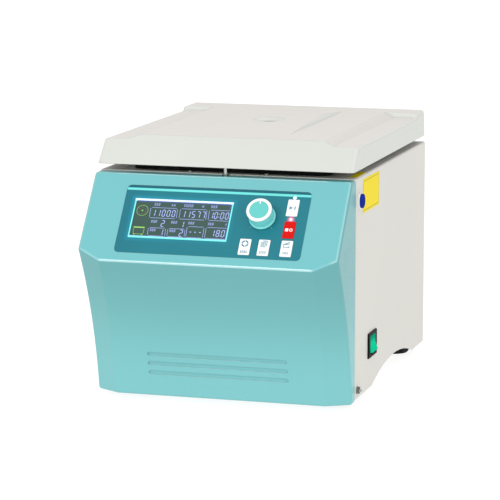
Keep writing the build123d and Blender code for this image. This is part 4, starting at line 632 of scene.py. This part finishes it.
def net(points, close_u=False, close_v=False):
    """Four-sided faces of a grid of points, u along its rows and v along its columns, closed where asked."""
    rows, columns = points.shape[:2]
    u, v = np.meshgrid(np.arange(rows - (not close_u)), np.arange(columns - (not close_v)), indexing="ij")
    u, v, up, vp = u.ravel(), v.ravel(), (u.ravel() + 1) % rows, (v.ravel() + 1) % columns
    return np.stack([u * columns + v, up * columns + v, up * columns + vp, u * columns + vp], 1)


def put(context, name, data):
    """A new object in the scene."""
    made = bpy.data.objects.new(name, data)
    context.scene.collection.objects.link(made)
    return made


def put_mesh(context, name, points, faces, material):
    """A new object of points and faces in one material."""
    mesh = bpy.data.meshes.new(name)
    mesh.from_pydata(points.tolist(), [], faces)
    mesh.validate()
    mesh.materials.append(material)
    return put(context, name, mesh)


def piece(context, name, shapes, look, body):
    """One object of shapes, each (points, faces), in the finish that look names. It rides on a body."""
    starts = np.cumsum([0] + [len(p) for p, _ in shapes])
    faces = [(np.asarray(f) + s).tolist() for (_, many), s in zip(shapes, starts) for f in many]
    made = put_mesh(context, name, np.concatenate([p for p, _ in shapes]), faces, finish(context, look))
    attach(made, body)
    return made


def print_levels(context, surface):
    """Foot and top of marks printed on a surface of the control face, in mm out of the face."""
    return surface - PRINT_ROOT, surface + context.scene.cyto_sizes.print_depth / MM


def plate(outline, levels):
    """A flat plate: an outline, anticlockwise seen from outside, carried straight out of the face between levels."""
    ring = np.stack([on_face(outline, level) for level in levels])
    count = len(outline)
    walls = net(ring, close_v=True)[:, ::-1]
    return ring.reshape(-1, 3), [*walls, np.arange(count)[::-1], np.arange(count) + count]


def stroke(path, width, levels, closed=False):
    """A drawn line: a flat bar carried along a path on the face between levels, its ends closed and its sides half
    the width from the path, or as far as keeps the width at a corner."""
    path = np.asarray(path, float)
    ahead = np.roll(path, -1, 0) - path
    behind = path - np.roll(path, 1, 0)
    if not closed:
        ahead[-1], behind[0] = behind[-1], ahead[0]
    unit = lambda v: v / np.linalg.norm(v, axis=1, keepdims=True)
    ahead, behind = unit(ahead), unit(behind)
    quarter_turn = np.array(((0.0, 1.0), (-1.0, 0.0)))
    side = unit(ahead + behind) @ quarter_turn
    reach = 1 / np.maximum((side * (ahead @ quarter_turn)).sum(1, keepdims=True), 0.35)
    left, right = path + side * reach * width / 2, path - side * reach * width / 2
    low, high = levels
    bar = np.stack([on_face(left, low), on_face(right, low), on_face(right, high), on_face(left, high)], 1)
    faces = list(net(bar, close_u=closed, close_v=True))
    if not closed:
        faces += [np.array((3, 2, 1, 0)), np.arange(4) + 4 * (len(path) - 1)]
    return bar.reshape(-1, 3), faces


def arc(middle, radius, start, end, steps=16):
    """Points of an arc round a middle, from start to end in degrees."""
    turn = np.radians(np.linspace(start, end, steps))
    return middle + radius * np.stack([np.cos(turn), np.sin(turn)], 1)


def circle(middle, radius, steps=12):
    """Points of a whole circle, from its right."""
    return arc(middle, radius, 0, 360 - 360 / steps, steps)


def box_path(left, low, right, high, corner):
    """The outline of a box with rounded corners."""
    left, low, right, high = left + corner, low + corner, right - corner, high - corner
    corners = ((right, high), (left, high), (left, low), (right, low))
    return np.concatenate([arc(at, corner, 90 * i, 90 * i + 90, 4) for i, at in enumerate(corners)])


def bars(left, up, run, count, rises, shares, width, levels):
    """Broken bars that stand for a caption: a row at each rise, count bars to the row, by turns long and short."""
    room = run / count
    return [
        stroke(((left + i * room, up + rise), (left + (i + shares[(i + row) % 2]) * room, up + rise)), width, levels)
        for i in range(count) for row, rise in enumerate(rises)
    ]


# Where each segment runs, between corners of two stacked squares, and which segments each sign lights.
SEGMENTS = dict(a=(0, 2, 1, 2), b=(1, 2, 1, 1), c=(1, 1, 1, 0), d=(0, 0, 1, 0), e=(0, 1, 0, 0), f=(0, 2, 0, 1),
                g=(0, 1, 1, 1))
DIGITS = {"0": "abcdef", "1": "bc", "2": "abged", "5": "afgcd", "7": "abc", "8": "abcdefg"}
DIGIT_WIDTH, DIGIT_SLANT = 3.1, 0.05


def digit(sign, middle, height, width, levels):
    """A seven-segment sign: each lit segment is a six-cornered bar between two corners of a slanted box."""
    shapes = []
    for x0, y0, x1, y1 in (SEGMENTS[s] for s in DIGITS[sign]):
        ends = np.array(((x0 - 0.5, (y0 - 1) / 2), (x1 - 0.5, (y1 - 1) / 2))) * (DIGIT_WIDTH, height)
        along = (ends[1] - ends[0]) / np.linalg.norm(ends[1] - ends[0])
        across = np.array((-along[1], along[0])) * width / 2
        near, far = ends[0] + along * width / 4, ends[1] - along * width / 4
        step = along * width / 2
        side = step - across
        bar = np.array((near, near + side, far - step - across, far, far - side, near + step + across))
        bar[:, 0] += DIGIT_SLANT * bar[:, 1]
        shapes.append(plate(bar + middle, levels))
    return shapes


def coil(start, end, radius, wire, turns):
    """Spring wire: a circle of the wire's radius carried round a helix along X, drawn in to a point at each end."""
    along = np.linspace(0, 1, turns * 40 + 1)
    around = np.linspace(0, 2 * pi, 12, endpoint=False)
    turn = 2 * pi * turns * along
    run_out = np.clip(np.minimum(along, 1 - along) * turns * 40 / 2, 0, 1) ** 0.5
    outward = np.stack([np.zeros_like(turn), np.cos(turn), np.sin(turn)], 1)
    axis = start + along[:, None] * np.subtract(end, start)
    ring = (wire * run_out)[:, None, None] * (
        np.cos(around)[None, :, None] * outward[:, None] + np.sin(around)[None, :, None] * ACROSS
    )
    points = (axis + radius * outward)[:, None] + ring
    return points.reshape(-1, 3), list(net(points, close_v=True))


def skin(middle, facing, radius, x, y, height):
    """Rings of points round an axis, the last one closed by a flat face: x and y in radii, height in metres."""
    facing = np.asarray(facing, float)
    side = np.cross(facing, (0.0, 0.0, 1.0))
    off_axis = radius * (x[..., None] * side + y[..., None] * np.cross(facing, side))
    points = middle + off_axis + height[..., None] * facing
    rings, count = x.shape
    return points.reshape(-1, 3), [*net(points, close_v=True), np.arange(count)[::-1] + count * (rings - 1)]


def screw_head(middle, facing, radius, rise, recess):
    """A domed screw head with a cross recess: height over a disc, lowered where either arm of the cross passes."""
    arm_reach, arm_side, end_slope, side_slope = 0.62, 0.14, 0.1, 0.08  # radii
    out = np.concatenate([np.linspace(0, 0.92, 15), (0.97, 1.0, 1.0)])
    r, a = np.meshgrid(out, np.linspace(0, 2 * pi, 48, endpoint=False), indexing="ij")
    x, y = r * np.cos(a), r * np.sin(a)
    arms = [
        np.clip(np.minimum((arm_reach - abs(along)) / end_slope, (arm_side - abs(beside)) / side_slope), 0, 1)
        for along, beside in ((x, y), (y, x))
    ]
    height = rise * np.sqrt(1 - (r * 0.94) ** 2) - recess * np.maximum(*arms)
    height[-1] = 0.0
    return skin(middle, facing, radius, x, y, height)


def cap_screw(middle, facing, radius, rise):
    """A flanged cap screw: a profile of (radius, height) carried round the axis. The knurl on its side is a cosine of
    the angle, and the socket's radius follows a hexagon."""
    around = np.linspace(0, 2 * pi, 144, endpoint=False)
    profile = np.array([(0.0, 0.42), (0.40, 0.42), (0.43, 0.97), (0.48, 1.0), (0.78, 1.0), (0.84, 0.98), (0.87, 0.92),
                        (0.87, 0.50), (0.90, 0.45), (0.97, 0.44), (1.0, 0.40), (1.0, 0.0)])
    socket, knurl, teeth = slice(1, 3), slice(6, 8), 36
    r, height = (np.repeat(column[:, None], around.size, 1) for column in profile.T)
    r[socket] *= 1.08 * cos(pi / 6) / np.cos((around + pi / 6) % (pi / 3) - pi / 6)
    r[knurl] += 0.022 * np.cos(teeth * around)
    return skin(middle, facing, radius, r * np.cos(around), r * np.sin(around), rise * height)


# ---------------- operators

WHITE_KEYS = ("start_key", "lid_key", "program_key", "mode_key")


class CYTO_OT_finishes(Operator):
    """Gives every part of the frame the finish of its material slot"""

    bl_idname = "cyto.finishes"
    bl_label = "Finishes"

    def execute(self, context):
        slots = {s["node"]: s["material_slot"] for s in frame["record"]["subparts"]}
        for name, node in frame["nodes"].items():
            own = "key_white" if name in WHITE_KEYS else name
            material = finish(context, own if own in FINISHES else slots[name])
            for place in node.material_slots:
                place.material = material
        return {"FINISHED"}


# The display, in mm on the control face. Figures: text, middle across and up, pitch and height of a figure.
FIGURES = (
    ("11000", -58.5, 63.2, 5.8, 7.8), ("11577", -23.7, 63.2, 5.8, 7.8), ("10", -0.2, 63.2, 5.2, 7.8),
    ("00", 12.4, 63.2, 5.7, 7.8), ("2", -57.0, 50.1, 5.8, 7.6), ("1", -34.4, 50.1, 5.8, 7.4),
    ("1", -56.7, 39.2, 5.8, 7.2), ("2", -33.8, 39.2, 5.8, 7.8), ("18", 5.7, 41.0, 5.8, 7.8),
    ("0", 14.5, 41.0, 5.8, 7.8),
)
# A window's left, right, foot and top.
WINDOWS = (
    (-73.3, -44.4, 56.8, 69.8), (-38.6, -10.1, 56.8, 69.8), (-4.8, 17.2, 56.8, 69.8), (-71.2, -53.4, 34.2, 44.3),
    (-48.3, -30.8, 34.2, 44.3), (-26.5, -9.5, 34.2, 47.9), (-4.6, 17.2, 34.2, 47.9),
)
SCREEN_END = 17.0  # a window that reaches it has no right side
# A caption's start, middle height, length and height.
CAPTIONS = (
    (-71.2, 74.0, 7.2, 3.2), (-51.1, 73.7, 5.1, 2.0), (-36.5, 74.0, 11.2, 3.2), (-15.5, 73.7, 3.1, 2.0),
    (-5.0, 74.0, 7.6, 3.2), (-71.0, 52.3, 7.4, 3.0), (-47.6, 52.3, 7.5, 3.0), (-27.6, 52.3, 7.4, 3.0),
    (-4.8, 52.3, 7.1, 3.0), (15.4, 52.5, 1.8, 2.0), (-70.2, 41.5, 7.0, 3.0), (-47.4, 41.5, 7.3, 3.0),
)


class CYTO_OT_display(Operator):
    """Draws the display's digits, windows, captions and pictures on its glass"""

    bl_idname = "cyto.display"
    bl_label = "Display"

    def execute(self, context):
        sizes, on = context.scene.cyto_sizes, print_levels(context, GLASS_TOP)
        thick, thin, fine = sizes.digit_stroke / MM, sizes.line_stroke / MM, 0.42
        signs = []
        for text, x, up, pitch, height in FIGURES:
            for place, sign in enumerate(text):
                signs += digit(sign, (x + (place - (len(text) - 1) / 2) * pitch, up), height, thick, on)
        signs += [plate(circle(point, 0.45), on) for point in ((5.9, 61.3), (6.1, 65.4), (12.0, 37.5))]
        signs += [stroke(((x - 1.0, 41.1), (x + 1.0, 41.1)), 0.8, on) for x in (-23.2, -17.7, -12.0)]
        lines = []
        # a window is a top line, a foot and two leaning sides that don't meet them
        for left, right, foot, top in WINDOWS:
            ends = [((left, top), (right, top)), ((left, foot), (right, foot)),
                    ((left - 1.4, top - 0.8), (left - 0.9, foot + 0.8))]
            ends += [((right + 1.0, top - 0.8), (right + 1.6, foot + 0.8))] * (right < SCREEN_END)
            lines += [stroke(pair, thin, on) for pair in ends]
        for x, up, run, tall in CAPTIONS:
            count, rows = max(1, round(run / 2.4)), 4 if tall > 2.5 else 3
            shares = np.array((0.7, 1.0)) * (1 - 0.4 * count / run)
            lines += bars(x, up, run, count, np.linspace(-0.5, 0.5, rows) * (tall - 0.4), shares, fine, on)
        # pictures: a ring and six stations round a hub, and a bar over a tub on two feet
        hub = np.array((-83.9, 65.5))
        icons = [stroke(circle(hub, 6.5, 36), fine, on, closed=True), plate(circle(hub, 0.9), on),
                 plate(((-89.9, 43.3), (-77.1, 43.3), (-77.1, 44.9), (-89.9, 44.9)), on)]
        tub = ((-89.5, 43.0), (-89.2, 36.4), (-87.6, 35.6), (-78.9, 35.6), (-77.5, 36.4), (-77.3, 43.0))
        icons += [stroke(tub, fine, on)] + [stroke(((x, 35.0), (x + 1.8, 35.0)), 0.8, on) for x in (-88.9, -79.6)]
        stations = [plate(circle(point, 0.6), on) for point in arc(hub, 3.9, 30, 330, 6)]
        for name, marks in (("digits", signs), ("lines", lines), ("icons", icons), ("stations", stations)):
            piece(context, f"display_{name}", marks, f"lit_{name}", "cabinet")
        return {"FINISHED"}


class CYTO_OT_key_marks(Operator):
    """Prints a plain symbol and caption bars on each key, and the ticks beside the knob"""

    bl_idname = "cyto.key_marks"
    bl_label = "Key marks"

    def execute(self, context):
        pen, on = context.scene.cyto_sizes.mark_stroke / MM, print_levels(context, KEY_TOP)

        def caption(x, up, run):
            """Four rows of four bars, middle at x and up."""
            return bars(x - run / 2, up, run, 4, np.linspace(-0.5, 0.5, 4) * 2.5, (0.9, 0.65), 0.48, on)

        # start: a triangle and a bar
        play = [plate(((84.6, 74.5), (88.8, 76.7), (84.6, 78.9)), on), stroke(((90.9, 74.5), (90.9, 78.9)), 1.3, on)]
        # stop: a square and a ring
        stop = [plate(((84.4, 47.4), (87.9, 47.4), (87.9, 51.0), (84.4, 51.0)), on),
                stroke(circle((90.9, 49.2), 1.5, 24), 0.8, on, closed=True)]
        # run mode: four arrows that chase each other
        hub, reach = np.array((42.1, 29.8)), 3.3
        cycle = [stroke(arc(hub, reach, a + 12, a + 66), pen * 2.3, on) for a in (0, 90, 180, 270)]
        for a in np.radians((84, 174, 264, 354)):
            tip, out = np.array(((-sin(a), cos(a)), (cos(a), sin(a))))
            root = hub + reach * out - 0.9 * tip
            cycle.append(plate((root - 1.3 * out, root + 1.3 * out, root + 1.7 * tip), on))
        # program: two sheets, the front one ruled
        pages = [stroke(box_path(60.6, 26.8, 65.2, 32.4, 0.5), pen * 1.3, on, closed=True),
                 stroke(((62.2, 34.0), (66.8, 34.0), (66.8, 28.2)), pen * 1.7, on)]
        pages += [stroke(((61.5, up), (64.3, up)), pen * 1.3, on) for up in (31.0, 29.6, 28.2)]
        # lid: a raised lid over a tub
        tub = ((86.0, 29.5), (86.0, 27.7), (92.4, 27.7), (92.4, 29.5))
        raised = [stroke(path, pen * width, on) for path, width in (
            (((85.6, 30.6), (92.8, 33.9)), 2.0), (((85.6, 30.6), (92.6, 31.6)), 1.4), (tub, 1.5))]
        for key, marks, look, slot in (
            ("start_key", play, "pale_ink", "knob_teal"), ("stop_key", stop, "white_ink", "white_plastic"),
            ("mode_key", cycle + caption(42.2, 19.6, 8.4), "key_ink", "knob_teal"),
            ("program_key", pages + caption(63.6, 19.9, 8.4), "pale_ink", "knob_teal"),
            ("lid_key", raised + caption(89.6, 20.4, 6.8), "pale_ink", "knob_teal"),
        ):
            piece(context, f"{key}_mark", marks, look, key)
        # knob: a tick at either side of its foot
        (x, up), film = KNOB, print_levels(context, OVERLAY_TOP)
        ticks = [stroke(((x + 12.9 * s, up - 12.9), (x + 11.1 * s, up - 11.3)), 0.7, film) for s in (-1, 1)]
        piece(context, "knob_ticks", ticks, "pale_ink", "cabinet")
        return {"FINISHED"}


class CYTO_OT_lid_springs(Operator):
    """Winds the two lid springs round their hinge pins, in place of the plain sleeves"""

    bl_idname = "cyto.lid_springs"
    bl_label = "Lid springs"

    def execute(self, context):
        low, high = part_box("hinge_springs")
        wire, turns, spring_length = context.scene.cyto_sizes.spring_wire, 7, 0.012
        y, z = (low.y + high.y) / 2, (low.z + high.z) / 2
        inner, outer = high.x - spring_length + wire, high.x - wire
        shapes = [coil((side * inner, y, z), (side * outer, y, z), (high.z - low.z) / 2 - wire, wire, turns)
                  for side in (1, -1)]
        made = piece(context, "lid_springs", shapes, "spring_steel", "cabinet")
        made.data.shade_smooth()
        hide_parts("hinge_springs")
        return {"FINISHED"}


class CYTO_OT_rear_screws(Operator):
    """Sets cross-recess screws round the edge of the rear panel"""

    bl_idname = "cyto.rear_screws"
    bl_label = "Rear screws"

    def execute(self, context):
        low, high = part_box("rear_panel")
        radius, rise, recess, sunk = context.scene.cyto_sizes.rear_screw, 0.0016, 0.0013, 0.0001
        across, rows = high.x - 0.009, (low.z + 0.010, (low.z + high.z) / 2, high.z - 0.012)
        shapes = [screw_head((side * across, high.y - sunk, z), (0.0, 1.0, 0.0), radius, rise, recess)
                  for side in (-1, 1) for z in rows]
        piece(context, "rear_screws", shapes, "chrome_screw", "cabinet")
        return {"FINISHED"}


class CYTO_OT_side_screws(Operator):
    """Sets a flanged cap screw in the front lower corner of either side"""

    bl_idname = "cyto.side_screws"
    bl_label = "Side screws"

    def execute(self, context):
        low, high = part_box("case_screws")
        x, y, z = high.x - HEAD_RISE, high.y - HEAD_RADIUS, low.z + HEAD_RADIUS
        shapes = [cap_screw((side * x, y, z), (side, 0.0, 0.0), CAP_RADIUS, CAP_RISE) for side in (-1, 1)]
        piece(context, "side_screws", shapes, "side_screws", "cabinet")
        return {"FINISHED"}


class CYTO_OT_stage(Operator):
    """Lays the pale floor, hangs the soft lights and sets up the camera"""

    bl_idname = "cyto.stage"
    bl_label = "Studio"

    def execute(self, context):
        studio, scene = context.scene.cyto_studio, context.scene
        scene.view_settings.view_transform = "Standard"
        across, back = np.meshgrid(*[np.linspace(-14, 14, 15)] * 2, indexing="ij")
        points = np.stack([across, back, 0 * across], -1)
        pale = Finish(Specular_IOR_Level=0.1, Emission_Color=(1.0, 1.0, 1.0, 1.0), Emission_Strength=studio.table)
        tooth = pale.noise(260.0, 3.0)
        pale.surface(pale.shade((0.2, 0.2, 0.2), 0.99 + tooth * 0.02), 0.7 + tooth.sway(0.1))
        floor = put_mesh(context, "floor", points.reshape(-1, 3), net(points).tolist(), pale.owner)

        # the room is white at the right and dims towards the left
        room = Finish(bpy.data.worlds.new("white_room"), "Background", Strength=studio.sky)
        room.feed(Color=room.node("MapRange", {}, {0: room.axes()[0], 1: -0.95, 2: -0.15, 3: 0.55, 4: 1.0}))
        scene.world = room.owner
        for name, place, aim, size, power in (
            ("key_light", (-0.58, -1.8, 1.2), (0.0, -0.2, 0.17), (1.1, 0.45), studio.key_power),
            ("side_light", (1.7, -1.3, 0.9), (0.1, -0.2, 0.17), (0.4, 0.9), studio.side_power),
        ):
            light = bpy.data.lights.new(name, "AREA")
            light.energy, light.shape, light.size, light.size_y = power, "RECTANGLE", *size
            lamp = put(context, name, light)
            lamp.location = place
            lamp.rotation_euler = (lamp.location - Vector(aim)).to_track_quat("Z", "Y").to_euler()

        view = bpy.data.cameras.new("camera")
        view.lens, view.sensor_width, view.clip_start, view.clip_end = studio.camera_lens, 36.0, 0.05, 100.0
        camera = put(context, "camera", view)
        camera.location, camera.rotation_euler = studio.camera_place, studio.camera_turn
        bpy.context.scene.camera = camera
        return {"FINISHED"}


OPERATORS = (CYTO_OT_stage, CYTO_OT_finishes, CYTO_OT_display, CYTO_OT_key_marks, CYTO_OT_lid_springs,
             CYTO_OT_rear_screws, CYTO_OT_side_screws)
GROUPS = {"cyto_colours": CytoColours, "cyto_sizes": CytoSizes, "cyto_studio": CytoStudio}


class CYTO_PT_build(Panel):
    """Lists the machine's settings and the steps that build it"""

    bl_idname = "CYTO_PT_build"
    bl_label = "Cytocentrifuge"
    bl_space_type = "VIEW_3D"
    bl_region_type = "UI"
    bl_category = "Cytocentrifuge"

    def draw(self, context):
        for operator in OPERATORS:
            self.layout.operator(operator.bl_idname)
        for name, group in GROUPS.items():
            box = self.layout.box()
            for key in group.__annotations__:
                box.prop(getattr(context.scene, name), key)


CLASSES = (*GROUPS.values(), *OPERATORS, CYTO_PT_build)


def register():
    for cls in CLASSES:
        bpy.utils.register_class(cls)
    for name, group in GROUPS.items():
        setattr(bpy.types.Scene, name, PointerProperty(type=group))


def unregister():
    for name in GROUPS:
        delattr(bpy.types.Scene, name)
    for cls in reversed(CLASSES):
        bpy.utils.unregister_class(cls)


def main():
    register()
    for operator in OPERATORS:
        group, name = operator.bl_idname.split(".")
        getattr(getattr(bpy.ops, group), name)()


if __name__ == "__main__":
    main()
